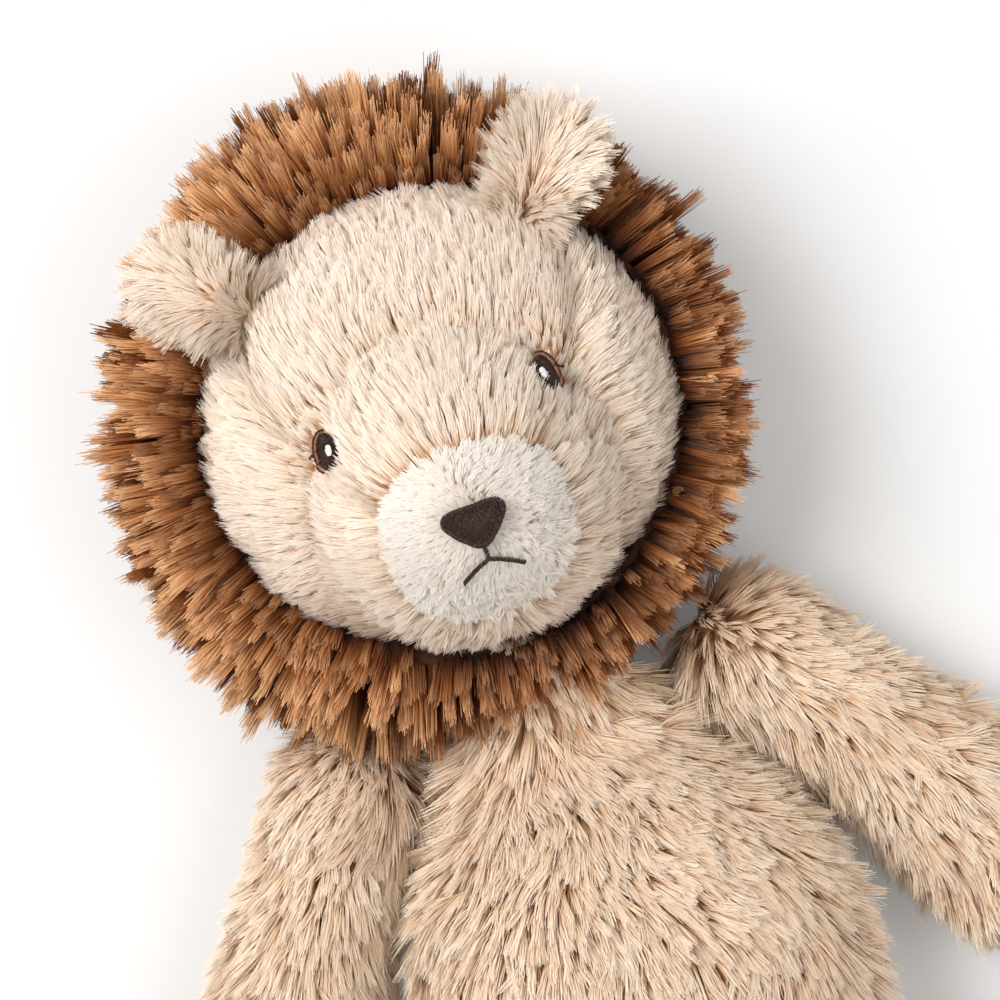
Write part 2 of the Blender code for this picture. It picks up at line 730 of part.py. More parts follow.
def arm_rows(side):
    """Rings of an arm on one side."""
    rows = limb_rows(
        SHOULDER, ARM_RADIUS, ARM_LENGTH, (ARM_HEADING, HAND_HEADING), ARM_SHARES, 1.0
    )
    return rows if side > 0 else mirrored(rows)


def leg_rows(side):
    """Rings of a leg on one side, up to the sole."""
    rows = limb_rows(HIP, LEG_RADIUS, LEG_LENGTH, (LEG_HEADING, LEG_HEADING), LEG_SHARES, 1.0)
    return rows if side > 0 else mirrored(rows)


def arm(side, name, pivot):
    """An arm: front and back panels and the filling between them."""
    rows = arm_rows(side)
    names = (f"arm_front_{name}", f"arm_back_{name}")
    sew_form(names, rows, ARM_SKIN, LIMB_SIDES, "beige_plush", pivot)
    filling = solid_mesh(offset_rows(rows, ARM_SKIN + GAP))
    finish_mesh(f"arm_filling_{name}", filling, "polyester_filling", pivot)


def leg(side, name, pivot):
    """A leg: front and back panels, the sole that closes the foot, and the filling."""
    rows = leg_rows(side)
    foot = len(rows) - CAP_ROWS
    inner = offset_rows(rows, LEG_SKIN)
    for part, upper in (("front", True), ("back", False)):
        skin = half_rows(rows[:foot], upper, LIMB_SIDES)
        lining = half_rows(inner[:foot], upper, LIMB_SIDES)
        bm = cut_flat(shell_mesh(skin, lining, False))
        finish_mesh(f"leg_{part}_{name}", bm, "beige_plush", pivot)
    heading = Vector((side * math.sin(LEG_HEADING), -math.cos(LEG_HEADING), 0))
    step = heading * SEAM_GAP
    sole = [[point + step for point in row] for row in rows[foot - 1 :]]
    finish_mesh(f"foot_sole_{name}", cut_flat(solid_mesh(sole)), "beige_plush", pivot)
    core = offset_rows(rows, LEG_SKIN + GAP)
    finish_mesh(f"leg_filling_{name}", solid_mesh(core[:foot]), "polyester_filling", pivot)


def torso(cutters, pivot):
    """The torso: chest and back panels, the filling, and the pouch of pellets in the seat."""
    rows = torso_rows()
    names = ("chest_panel", "back_panel")
    pieces = sew_form(names, rows, TORSO_SKIN, TORSO_SIDES, "beige_plush", pivot)
    core = offset_rows(rows, TORSO_SKIN + GAP)
    split = len(rows) - POUCH_RINGS
    filling = solid_mesh(core[: split + 1])
    pieces.append(finish_mesh("torso_filling", filling, "polyester_filling", pivot))
    step = Vector((0, -GAP, 0))
    pouch = [[point + step for point in core[split]]] + core[split + 1 :]
    pieces.append(finish_mesh("pellet_pouch", solid_mesh(pouch), "cotton_pouch", pivot))
    for piece in pieces:
        cut(piece, cutters)


def tail(pivot):
    """The tail: a stuffed tube that bends off the middle, and the tuft sewn round its end."""
    headings = (-TAIL_BEND, TAIL_BEND)
    tube = limb_rows(TAIL_ROOT, TAIL_RADIUS, TAIL_LENGTH, headings, TAIL_SHARES, 1.0)
    ends = len(tube) - CAP_ROWS - 1
    finish_mesh("tail_tube", cut_flat(solid_mesh(tube[:ends])), "beige_plush", pivot)
    rate = (headings[1] - headings[0]) / TAIL_LENGTH
    rows = []
    for along, size in TUFT_SHARES:
        reach = TAIL_LENGTH * TAIL_SHARES[-1][0] + GAP + TUFT_LENGTH * along
        centre, across = limb_place(TAIL_ROOT, headings[0], rate, reach)
        radius = TUFT_RADIUS * size
        centre.z = max(TAIL_RADIUS, radius) - FLAT_DEPTH
        rows.append(ring_at(centre, across, radius, radius, LIMB_SIDES) if size else [centre])
    finish_mesh("tail_tuft", cut_flat(solid_mesh(rows)), "mane_plush", pivot)


def make_cutter(name, rows, pivot, lift=0.0):
    """A shape that only cuts, on its limb's pivot and turned up by the limb's lift."""
    thing = finish_mesh(name, solid_mesh(rows), "polyester_filling", pivot)
    thing.rotation_euler.x = -lift
    thing.hide_render = True
    thing.display_type = "WIRE"
    return thing


def ball_rows(centre, radius, along=Vector((0, -1, 0)), reach=0.0):
    """Rings of a ball, or of a rod with round ends where it has a reach."""
    across = Vector((-along.y, along.x, 0))
    end = centre + along * reach
    rows = [[centre - along * radius]]
    for k in range(1, BALL_SIDES // 2):
        angle = 2 * math.pi * k / BALL_SIDES
        size = radius * math.sin(angle)
        place = (centre if 4 * k <= BALL_SIDES else end) - along * radius * math.cos(angle)
        rows.append(ring_at(place, across, size, size, BALL_SIDES))
    rows.append([end + along * radius])
    return rows


def limb_cutters(limb, rows, radius, heading, pivot, lift):
    """The room that a limb needs in the torso: its form at rest, and a round rod at full lift."""
    along = Vector((math.sin(heading), -math.cos(heading), 0))
    rod = ball_rows(pivot.location, radius + SOCKET_GAP, along, 2 * TORSO_HALF_HEIGHT)
    return [
        make_cutter(f"{limb}_rest_clearance", offset_rows(rows, -SIDE_GAP), pivot),
        make_cutter(f"{limb}_lift_clearance", rod, pivot, lift),
    ]


def cut(thing, cutters):
    """Cut a piece by each of the shapes."""
    for cutter in cutters:
        boolean = thing.modifiers.new(cutter.name, "BOOLEAN")
        boolean.operation = "DIFFERENCE"
        boolean.object = cutter


def head(pivot):
    """The head with its face, mane, ears, embroidery and filling."""
    bend = Vector((*SEAM_BEND_SHARES, 0))
    other = Vector((-bend.x, bend.y, 0))
    none = Vector((0, 0, 0))
    chin = math.radians(270)
    patch_turns = (PATCH_SEAM_TURN, math.pi - PATCH_SEAM_TURN)
    rim_turns = (RIM_SEAM_TURN, math.pi - RIM_SEAM_TURN)
    pieces = [
        face_panel("forehead_gusset", patch_turns, rim_turns, (bend, other), pivot),
        face_panel("cheek_right", (patch_turns[1], chin), (rim_turns[1], chin), (other, none), pivot),
        face_panel(
            "cheek_left",
            (patch_turns[0], chin - 2 * math.pi),
            (rim_turns[0], chin - 2 * math.pi),
            (bend, none),
            pivot,
        ),
        mane_ring(pivot),
        mane_hood(pivot),
    ]
    filling = solid_mesh(head_form(FACE_SKIN + CORE_GAP, HEAD_ROWS, ROUND_SIDES))
    pieces.append(finish_mesh("head_filling", filling, "polyester_filling", pivot))
    at_rest = offset_rows(torso_rows(), -SIDE_GAP)
    nodded = offset_rows(torso_rows(), -SOCKET_GAP)
    cutters = [
        make_cutter("neck_clearance", ball_rows(NECK_CENTRE, NECK_RADIUS + SOCKET_GAP), pivot),
        make_cutter("torso_rest_clearance", at_rest, pivot),
        make_cutter("torso_nod_clearance", nodded, pivot, HEAD_NOD),
    ]
    for piece in pieces:
        cut(piece, cutters)
    muzzle_patch(pivot)
    nose(pivot)
    mouth(pivot)
    shape = head_form(-GAP, ROUND_SIDES, 2 * ROUND_SIDES)
    envelope = make_cutter("head_clearance", shape, pivot)
    for side, name in ((1, "left"), (-1, "right")):
        eye(side, name, pivot)
        ear(side, name, envelope, pivot)


def centre_on_origin():
    """Move the toy so that the middle of its box's lower face is the origin."""
    bpy.context.view_layer.update()
    depsgraph = bpy.context.evaluated_depsgraph_get()
    corners = []
    for thing in bpy.data.objects:
        if thing.type == "MESH" and not thing.hide_render:
            shape = thing.evaluated_get(depsgraph)
            corners.extend(shape.matrix_world @ Vector(corner) for corner in shape.bound_box)
    for axis in (0, 1):
        values = [corner[axis] for corner in corners]
        middle = (min(values) + max(values)) / 2
        for thing in bpy.data.objects:
            if thing.parent is None:
                thing.location[axis] -= middle


def build():
    """Build the lion."""
    clear_scene()
    body = make_pivot("torso_pivot", (0, 0, 0))
    head(make_pivot("neck_pivot", NECK_CENTRE))
    cutters = []
    for side, name in ((1, "left"), (-1, "right")):
        mirror = Vector((side, 1, 1))
        shoulder = make_pivot(f"shoulder_pivot_{name}", SHOULDER * mirror)
        hip = make_pivot(f"hip_pivot_{name}", HIP * mirror)
        arm(side, name, shoulder)
        leg(side, name, hip)
        heading = side * ARM_HEADING
        cutters += limb_cutters(f"arm_{name}", arm_rows(side), ARM_RADIUS, heading, shoulder, ARM_LIFT)
        heading = side * LEG_HEADING
        cutters += limb_cutters(f"leg_{name}", leg_rows(side), LEG_RADIUS, heading, hip, LEG_LIFT)
    root = make_pivot("tail_pivot", TAIL_ROOT)
    tail(root)
    cutters.append(make_cutter("tail_clearance", ball_rows(TAIL_ROOT, TAIL_RADIUS + SOCKET_GAP), root))
    torso(cutters, body)
    centre_on_origin()


if __name__ == "__main__":
    build()
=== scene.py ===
"""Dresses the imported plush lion: backing cloth, tufted pile, embroidery, floor, light and camera.

The toy lies on its back with its head toward +Y. Every length is in metres. The pile is made of
real fibres, each a thin ribbon, gathered into tufts and laid the way each panel is brushed.
"""

import enum
import json
import logging
import math
from collections.abc import Callable, Sequence
from dataclasses import dataclass, fields, replace
from functools import partial

import bmesh
import bpy
import numpy as np
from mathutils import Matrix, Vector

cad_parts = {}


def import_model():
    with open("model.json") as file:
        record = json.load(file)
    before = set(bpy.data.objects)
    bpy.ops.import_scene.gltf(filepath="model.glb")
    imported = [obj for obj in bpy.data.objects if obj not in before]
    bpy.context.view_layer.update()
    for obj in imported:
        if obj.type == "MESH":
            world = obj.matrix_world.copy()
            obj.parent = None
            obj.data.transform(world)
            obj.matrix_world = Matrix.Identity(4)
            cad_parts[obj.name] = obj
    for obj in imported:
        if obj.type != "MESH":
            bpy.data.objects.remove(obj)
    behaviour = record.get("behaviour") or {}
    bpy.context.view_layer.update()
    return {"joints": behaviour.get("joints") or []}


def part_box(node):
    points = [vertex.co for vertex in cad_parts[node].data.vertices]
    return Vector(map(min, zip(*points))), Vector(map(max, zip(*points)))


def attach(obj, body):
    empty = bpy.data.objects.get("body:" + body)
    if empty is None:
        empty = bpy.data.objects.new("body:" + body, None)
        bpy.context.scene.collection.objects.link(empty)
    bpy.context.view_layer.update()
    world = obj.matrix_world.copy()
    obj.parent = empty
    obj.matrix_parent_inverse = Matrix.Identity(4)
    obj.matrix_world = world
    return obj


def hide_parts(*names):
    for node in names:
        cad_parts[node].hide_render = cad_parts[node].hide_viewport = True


log = logging.getLogger("plush lion")

MM = 0.001

# The pile's own map holds a shade across it, in cells, from depth of dye and, on the mane, painted
# shade too; and root to tip up it.
PILE_MAP = "OFBake"
SHADE_CELLS = 128
CELL_FILL = 0.4

# Pile with more fibres than this is grown in several pieces.
PIECE_FIBRES = 48_000

# How tightly stuffed forms and the embroidery's pads are padded, and how thick cloth is.
STUFFING = 0.6
FIRM = 0.9
CLOTH = 1.2 * MM

# From the pile's mean height down to the cloth, on the body and limbs.
BACKING_DEPTH = 7 * MM

# The eyes' middles in the head's own x and y, the left one's to +X.
EYE_X = 35 * MM
EYE_RISE = 1.4 * MM

# Rings and domes start this far from their pole, in radians.
POLE = 0.06

Array = np.ndarray
Stops = tuple[tuple[float, str], ...]


class Side(enum.Enum):
    """The toy's own left lies at +X and its right at -X."""

    LEFT = 1
    RIGHT = -1

    @property
    def word(self) -> str:
        """The side's name, as the parts use it."""
        return self.name.lower()


def linear(code: str) -> tuple[float, float, float, float]:
    """Turn an sRGB hex colour into a linear one.

    Args:
        code: six hex digits after a number sign.

    Returns:
        Red, green, blue and a full alpha.
    """
    channels = [int(code[k : k + 2], 16) / 255 for k in (1, 3, 5)]
    shades = [c / 12.92 if c <= 0.04045 else ((c + 0.055) / 1.055) ** 2.4 for c in channels]
    return (*shades, 1.0)


def add_node(
    tree: bpy.types.NodeTree,
    kind: str,
    settings: dict[str, object] | None = None,
    inputs: dict[object, object] | None = None,
) -> bpy.types.Node:
    """Add a shader node with its settings, values and links.

    Args:
        tree: the material's node tree.
        kind: the node's type name.
        settings: properties of the node itself.
        inputs: a value, or the socket of another node, for each input by name or number.

    Returns:
        The new node.
    """
    node = tree.nodes.new(kind)
    for name, value in (settings or {}).items():
        setattr(node, name, value)
    for name, value in (inputs or {}).items():
        if isinstance(value, bpy.types.NodeSocket):
            tree.links.new(value, node.inputs[name])
        else:
            node.inputs[name].default_value = value
    return node


def seen_directly(tree: bpy.types.NodeTree) -> bpy.types.NodeSocket:
    """Tell what is looked at, straight or in gloss or glass, from what only lights other things.

    Args:
        tree: the node tree.

    Returns:
        One where it is looked at, and nought for other light.
    """
    rays = add_node(tree, "ShaderNodeLightPath").outputs
    seen = rays["Is Camera Ray"]
    for other in ("Is Glossy Ray", "Is Transmission Ray"):
        pairs = {0: seen, 1: rays[other]}
        seen = add_node(tree, "ShaderNodeMath", {"operation": "MAXIMUM"}, pairs).outputs[0]
    return seen


class Surface:
    """A material in the making, on its Principled shader."""

    def __init__(self, name: str, values: dict[str, object]) -> None:
        """Start the material.

        Args:
            name: the finish's name.
            values: the shader's even values, by input.
        """
        self.material = bpy.data.materials.new(name)
        self.material.use_nodes = True
        self.tree = self.material.node_tree
        self.shader = self.tree.nodes["Principled BSDF"]
        for label, value in values.items():
            self.shader.inputs[label].default_value = value

    def place(self) -> bpy.types.NodeSocket:
        """Places on the piece, which move with it."""
        return add_node(self.tree, "ShaderNodeTexCoord").outputs["Object"]

    def noise(self, size: float, **values: float) -> bpy.types.NodeSocket:
        """Add noise.

        Args:
            size: how large its grains are, in metres.
            values: its other values, by input.

        Returns:
            The noise.
        """
        inputs = {"Vector": self.place(), "Scale": 1 / size, **values}
        return add_node(self.tree, "ShaderNodeTexNoise", inputs=inputs).outputs["Fac"]

    def ramp(self, factor: bpy.types.NodeSocket, stops: Stops) -> bpy.types.NodeSocket:
        """Add a ramp of colours.

        Args:
            factor: what it is read by.
            stops: place and sRGB hex colour of each stop, in order.

        Returns:
            The colour.
        """
        node = add_node(self.tree, "ShaderNodeValToRGB", inputs={"Fac": factor})
        elements = node.color_ramp.elements
        while len(elements) < len(stops):
            elements.new(1.0)
        for element, (place, code) in zip(elements, stops):
            element.position = place
            element.color = linear(code)
        return node.outputs["Color"]

    def link(self, label: str, value: bpy.types.NodeSocket) -> None:
        """Give one of the shader's inputs a value from a node."""
        self.tree.links.new(value, self.shader.inputs[label])

    def emboss(self, height: bpy.types.NodeSocket, depth: float, strength: float = 1.0) -> None:
        """Raise a fine relief.

        Args:
            height: its height, from 0 to 1.
            depth: how deep that is, in metres.
            strength: how much of it is seen.
        """
        inputs = {"Height": height, "Distance": depth, "Strength": strength}
        bump = add_node(self.tree, "ShaderNodeBump", inputs=inputs)
        self.link("Normal", bump.outputs["Normal"])


@dataclass(frozen=True)
class AcrylicPile:
    """Dyed acrylic pile, sheared and brushed: each fibre pales from its root to its tip, the darker
    root colour being painted shade of the pile's depth.

    Fibres differ a little in depth of dye, so a fibre's place across the pile's own map picks
    a shade between a deep and a pale run of colours; on the mane that place also holds painted
    shade. To the eye it is matt, with a faint sheen.
    """

    name: str
    deep: Stops
    pale: Stops
    roughness: float = 0.75
    specular: float = 0.2
    sheen: float = 0.03

    def material(self) -> bpy.types.Material:
        """The pile's material."""
        values = {
            "Roughness": self.roughness,
            "Specular IOR Level": self.specular,
            "Sheen Weight": self.sheen,
        }
        surface = Surface(self.name, values)
        tree = surface.tree
        place = add_node(tree, "ShaderNodeUVMap", {"uv_map": PILE_MAP}).outputs["UV"]
        parts = add_node(tree, "ShaderNodeSeparateXYZ", inputs={"Vector": place}).outputs
        deep, pale = (surface.ramp(parts["Y"], stops) for stops in (self.deep, self.pale))
        inputs = {0: parts["X"], 6: deep, 7: pale}
        mix = add_node(tree, "ShaderNodeMix", {"data_type": "RGBA"}, inputs)
        surface.link("Base Color", mix.outputs[2])
        return surface.material


@dataclass(frozen=True)
class KnitBacking:
    """Warp-knitted polyester, the cloth that the pile stands on: matt, in fine wales.

    The wales are drawn 1.2 mm apart, coarser than real ones, so that they show where pile parts.
    """

    name: str
    colour: str
    shadow: str
    wale: float = 1.2 * MM

    def material(self) -> bpy.types.Material:
        """The backing's material."""
        surface = Surface(self.name, {"Roughness": 0.9})
        scale = 1 / (self.wale * 2 * math.pi)
        inputs = {"Vector": surface.place(), "Scale": scale, "Distortion": 2.0}
        wales = add_node(surface.tree, "ShaderNodeTexWave", inputs=inputs).outputs["Fac"]
        stops = ((0.3, self.shadow), (0.7, self.colour))
        surface.link("Base Color", surface.ramp(surface.noise(8 * self.wale), stops))
        surface.emboss(wales, self.wale / 4, 0.5)
        return surface.material


@dataclass(frozen=True)
class RayonThread:
    """Bright rayon embroidery thread, twisted and laid in satin stitch.

    Its glints along its length are painted highlight: strands in a paler colour, beside its real
    gloss.
    """

    name: str
    colour: str
    glint: str
    roughness: float = 0.36
    gloss: float = 0.3
    thread: float = 0.4 * MM
    slot: str = "brown_thread"

    def material(self) -> bpy.types.Material:
        """The thread's material; noise about a thread wide makes single strands paler, a painted
        highlight.
        """
        values = {"Roughness": self.roughness, "Specular IOR Level": self.gloss}
        surface = Surface(self.name, values)
        strands = surface.noise(2 * self.thread, Detail=3.0)
        stops = ((0.42, self.colour), (0.75, self.glint))
        surface.link("Base Color", surface.ramp(strands, stops))
        surface.emboss(strands, self.thread / 8, 0.4)
        return surface.material


@dataclass(frozen=True)
class FibreFilling:
    """Carded polyester fibre, blown in loose: white, matt and cloudy in lumps of about 12 mm."""

    name: str = "carded_polyester_filling"
    colour: str = "#F4F4F2"
    shadow: str = "#D8D8D6"
    lump: float = 12 * MM

    def material(self) -> bpy.types.Material:
        """The filling's material."""
        surface = Surface(self.name, {"Roughness": 1.0})
        lumps = surface.noise(self.lump, Detail=6.0)
        stops = ((0.3, self.shadow), (0.7, self.colour))
        surface.link("Base Color", surface.ramp(lumps, stops))
        surface.emboss(lumps, self.lump / 6)
        return surface.material


@dataclass(frozen=True)
class PaperSweep:
    """Matt studio paper, swept up far behind the toy: white to the eye, but for the toy's shadow.

    Near the toy it is lit as paper is, and past the reach of the lamps it glows white for the eye.
    """

    name: str = "matt_studio_paper"
    colour: str = "#E6E6E6"
    lift: float = 0.09
    fibre: float = 0.8 * MM
    near: float = 0.45
    far: float = 1.6

    def material(self) -> bpy.types.Material:
        """The paper's material: diffuse, with light of its own that only the eye gets."""
        values = {"Base Color": linear(self.colour), "Roughness": 1.0, "Specular IOR Level": 0.0}
        surface = Surface(self.name, values)
        tree = surface.tree
        surface.emboss(surface.noise(self.fibre), self.fibre / 40)
        away = add_node(tree, "ShaderNodeVectorMath", {"operation": "LENGTH"}, {0: surface.place()})
        span = {"From Min": self.near, "From Max": self.far, "To Min": self.lift, "To Max": 1.0}
        inputs = {"Value": away.outputs["Value"], **span}
        lift = add_node(tree, "ShaderNodeMapRange", inputs=inputs).outputs["Result"]
        pairs = {0: seen_directly(tree), 1: lift}
        strength = add_node(tree, "ShaderNodeMath", {"operation": "MULTIPLY"}, pairs).outputs[0]
        glow = add_node(tree, "ShaderNodeEmission", inputs={"Strength": strength})
        pairs = {0: surface.shader.outputs[0], 1: glow.outputs[0]}
        both = add_node(tree, "ShaderNodeAddShader", inputs=pairs)
        tree.links.new(both.outputs[0], tree.nodes["Material Output"].inputs["Surface"])
        return surface.material


Finish = AcrylicPile | KnitBacking | RayonThread | FibreFilling | PaperSweep


@dataclass(frozen=True)
class Plush:
    """A plush as it is cut from the roll: its pile, its backing and the record's slot for it."""

    pile: AcrylicPile
    backing: KnitBacking
    slot: str


# Each run goes from the root (0) to the tip (1); its darker colours toward the root are painted
# shade of the pile's depth.
CREAM_PILE = AcrylicPile(
    "cream_acrylic_pile",
    ((0.0, "#C08458"), (0.25, "#E2B38A"), (0.55, "#F2DAC0"), (1.0, "#F8EADA")),
    ((0.0, "#D5A27A"), (0.2, "#EECEAC"), (0.5, "#FAE9D5"), (1.0, "#FDF3E9")),
)
BEIGE_PILE = AcrylicPile(
    "beige_acrylic_pile",
    ((0.0, "#8E5935"), (0.26, "#C5966A"), (0.6, "#E8C6A3"), (1.0, "#F5DFC6")),
    ((0.0, "#AC7A50"), (0.22, "#DDB38A"), (0.55, "#F7E2C8"), (1.0, "#FDF1E1")),
)
BROWN_PILE = AcrylicPile(
    "brown_acrylic_pile",
    ((0.0, "#2B1308"), (0.3, "#603116"), (0.7, "#97562A"), (1.0, "#BF8453")),
    ((0.0, "#48230F"), (0.3, "#935127"), (0.7, "#D08D55"), (1.0, "#F4C292")),
)
WHITE_PILE = AcrylicPile(
    "white_acrylic_pile",
    ((0.0, "#C9A783"), (0.3, "#E6D0B8"), (0.65, "#F7EBDD"), (1.0, "#FAF2E8")),
    ((0.0, "#E6D2BB"), (0.3, "#F6EADC"), (0.65, "#FBF5ED"), (1.0, "#FCF8F2")),
)
# Each plush's backing is coloured darker than its pile, painted shade for the gaps between tufts
# where the cloth shows.
CREAM = Plush(
    CREAM_PILE, KnitBacking("cream_knit_backing", "#CFA37B", "#B08259"), "face_plush"
)
BEIGE = Plush(
    BEIGE_PILE, KnitBacking("beige_knit_backing", "#B58A63", "#976C4A"), "body_plush"
)
BROWN = Plush(
    BROWN_PILE, KnitBacking("brown_knit_backing", "#4A2A15", "#34190C"), "mane_plush"
)
WHITE = Plush(
    WHITE_PILE, KnitBacking("white_knit_backing", "#E4DBD0", "#CFC3B6"), "muzzle_plush"
)
CALICO = KnitBacking("woven_calico", "#DDD3BF", "#C9BDA5")
# Each thread's second colour is painted highlight, laid on its paler strands.
DARK_THREAD = RayonThread("dark_brown_rayon", "#190A05", "#50291A")
TAN_THREAD = RayonThread("tan_rayon", "#8A563F", "#AE7A5E")
WHITE_THREAD = RayonThread("white_rayon", "#F4F2EE", "#FFFFFF", slot="white_thread")
FILLING = FibreFilling()


class Stock:
    """The finished materials, each made once."""

    def __init__(self) -> None:
        """Start with none made."""
        self.made: dict[str, bpy.types.Material] = {}

    def take(self, finish: Finish) -> bpy.types.Material:
        """The material of a finish.

        Args:
            finish: which.

        Returns:
            Its material, made on first use.
        """
        if finish.name not in self.made:
            self.made[finish.name] = finish.material()
        return self.made[finish.name]


STOCK = Stock()


@dataclass(frozen=True)
class Pile:
    """How a panel's pile grows. Lengths are in metres.

    Spacing is from tuft to tuft and tuft is a tuft's radius at the cloth. Lift is a fibre's
    angle above the cloth in degrees, gather is how far a tuft's tips draw together, stray is how
    far single fibres leave their tuft, and wander is how far tufts leave the lay. Clump is how
    far apart the swells are in which neighbouring tufts rise and fall together. Softness is how
    far the pile is shaded as the cloth under it is, not as each fibre leans, and dye is how far
    single fibres differ in shade from their tuft.
    """

    length: float
    spacing: float
    fibres: int
    tuft: float
    width: float = 0.32 * MM
    lift: float = 42.0
    lift_spread: float = 11.0
    bend: float = 0.32
    gather: float = 0.25
    stray: float = 0.07
    wander: float = 0.16
    length_spread: float = 0.10
    tip: float = 0.4
    clump: float = 13 * MM
    softness: float = 0.35
    dye: float = 0.08
    steps: int = 2


@dataclass(frozen=True)
class Fibre:
    """What every fibre shares, whatever the pile.

    Lengths differ by the share of length_spread, and none is under the shortest share. A ribbon
    is rolled about its length by some radians. Its widths are shares of the pile's, the tip's
    left to the pile. It rests on the ground at a height from low to low and span, in millimetres.
    """

    length_spread: float = 0.05
    shortest: float = 0.15
    roll_spread: float = 0.32
    roll_limit: float = 0.7
    root_width: float = 0.85
    widest_at: float = 0.55
    gather_power: float = 1.4
    rest_low: float = 0.3
    rest_span: float = 1.6
    ground_gap: float = 0.2 * MM
    map_margin: float = 0.02


FIBRE = Fibre()


@dataclass(frozen=True)
class Brushing:
    """What brushing leaves in any pile: how large its patches are, and how far tufts differ."""

    swirl: float = 0.03
    swirl_noise: float = 0.6
    swell: float = 0.7
    least_lift: float = 6
    most_lift: float = 86
    droop: float = math.radians(8)
    tone_size: float = 0.022
    tone: tuple[float, float] = (0.13, 0.10)
    trim_size: float = 0.018
    trim: float = 0.06


BRUSHING = Brushing()


@dataclass
class Bed:
    """Where tufts are rooted, with outward normals, and how each tuft leaves the cloth.

    Rows are the tufts' shares of the way along the skin.
    """

    points: Array
    normals: Array
    heading: Array
    droop: Array
    shade: Array
    scale: Array
    rows: Array

    def kept(self, keep: Array) -> "Bed":
        """The same bed with only the tufts that a mask keeps."""
        return Bed(*(getattr(self, field.name)[keep] for field in fields(self)))


@dataclass
class Spots:
    """Places scattered over a skin, with its normals, its two ways and their shares."""

    points: Array
    normals: Array
    along: Array
    around: Array
    rows: Array
    columns: Array


def unit(vectors: Array) -> Array:
    """Vectors brought to a length of one."""
    return vectors / np.maximum(np.linalg.norm(vectors, axis=-1, keepdims=True), 1e-12)


def waves(points: Array, size: float, seed: int) -> Array:
    """Smooth noise, mostly from -1 to 1, as a sum of seeded waves.

    Args:
        points: places, one to a row.
        size: how far apart its swells are, in metres.
        seed: which noise.

    Returns:
        One value for each point.
    """
    rng = np.random.default_rng(seed)
    total = np.zeros(len(points))
    count = 7
    for _ in range(count):
        direction = unit(rng.normal(size=3))
        stretch = rng.uniform(0.6, 1.7)
        phase = points @ direction * 2 * math.pi * stretch / size
        total += np.sin(phase + rng.uniform(0, 2 * math.pi))
    return total / math.sqrt(count)


def turns(count: int) -> Array:
    """Angles spread evenly all the way round."""
    return np.linspace(0, 2 * math.pi, count, endpoint=False)


def new_mesh(
    name: str, points: Array, faces: Array, material: bpy.types.Material
) -> bpy.types.Object:
    """Make a smooth-shaded mesh object from points and four-cornered faces.

    Args:
        name: the piece's name.
        points: one place to a row.
        faces: four point numbers to a row.
        material: its finish.

    Returns:
        The object, linked to the scene.
    """
    mesh = bpy.data.meshes.new(name)
    count, corners = faces.shape
    mesh.vertices.add(len(points))
    mesh.vertices.foreach_set("co", np.asarray(points, np.float32).ravel())
    mesh.loops.add(count * corners)
    mesh.loops.foreach_set("vertex_index", np.asarray(faces, np.int32).ravel())
    mesh.polygons.add(count)
    mesh.polygons.foreach_set("loop_start", np.arange(0, count * corners, corners, dtype=np.int32))
    mesh.update(calc_edges=True)
    mesh.shade_smooth()
    mesh.materials.append(material)
    thing = bpy.data.objects.new(name, mesh)
    bpy.context.scene.collection.objects.link(thing)
    return thing


def grid_faces(rows: int, columns: int, wraps: bool) -> Array:
    """Faces of a grid of points numbered row by row.

    Args:
        rows: how many rows of points.
        columns: how many points in each.
        wraps: whether the last column joins the first.

    Returns:
        Four point numbers to a row.
    """
    spans = columns if wraps else columns - 1
    row, column = np.meshgrid(np.arange(rows - 1), np.arange(spans), indexing="ij")
    after = (column + 1) % columns
    low, high = row * columns, (row + 1) * columns
    corners = (low + column, low + after, high + after, high + column)
    return np.stack(corners, axis=-1).reshape(-1, 4)


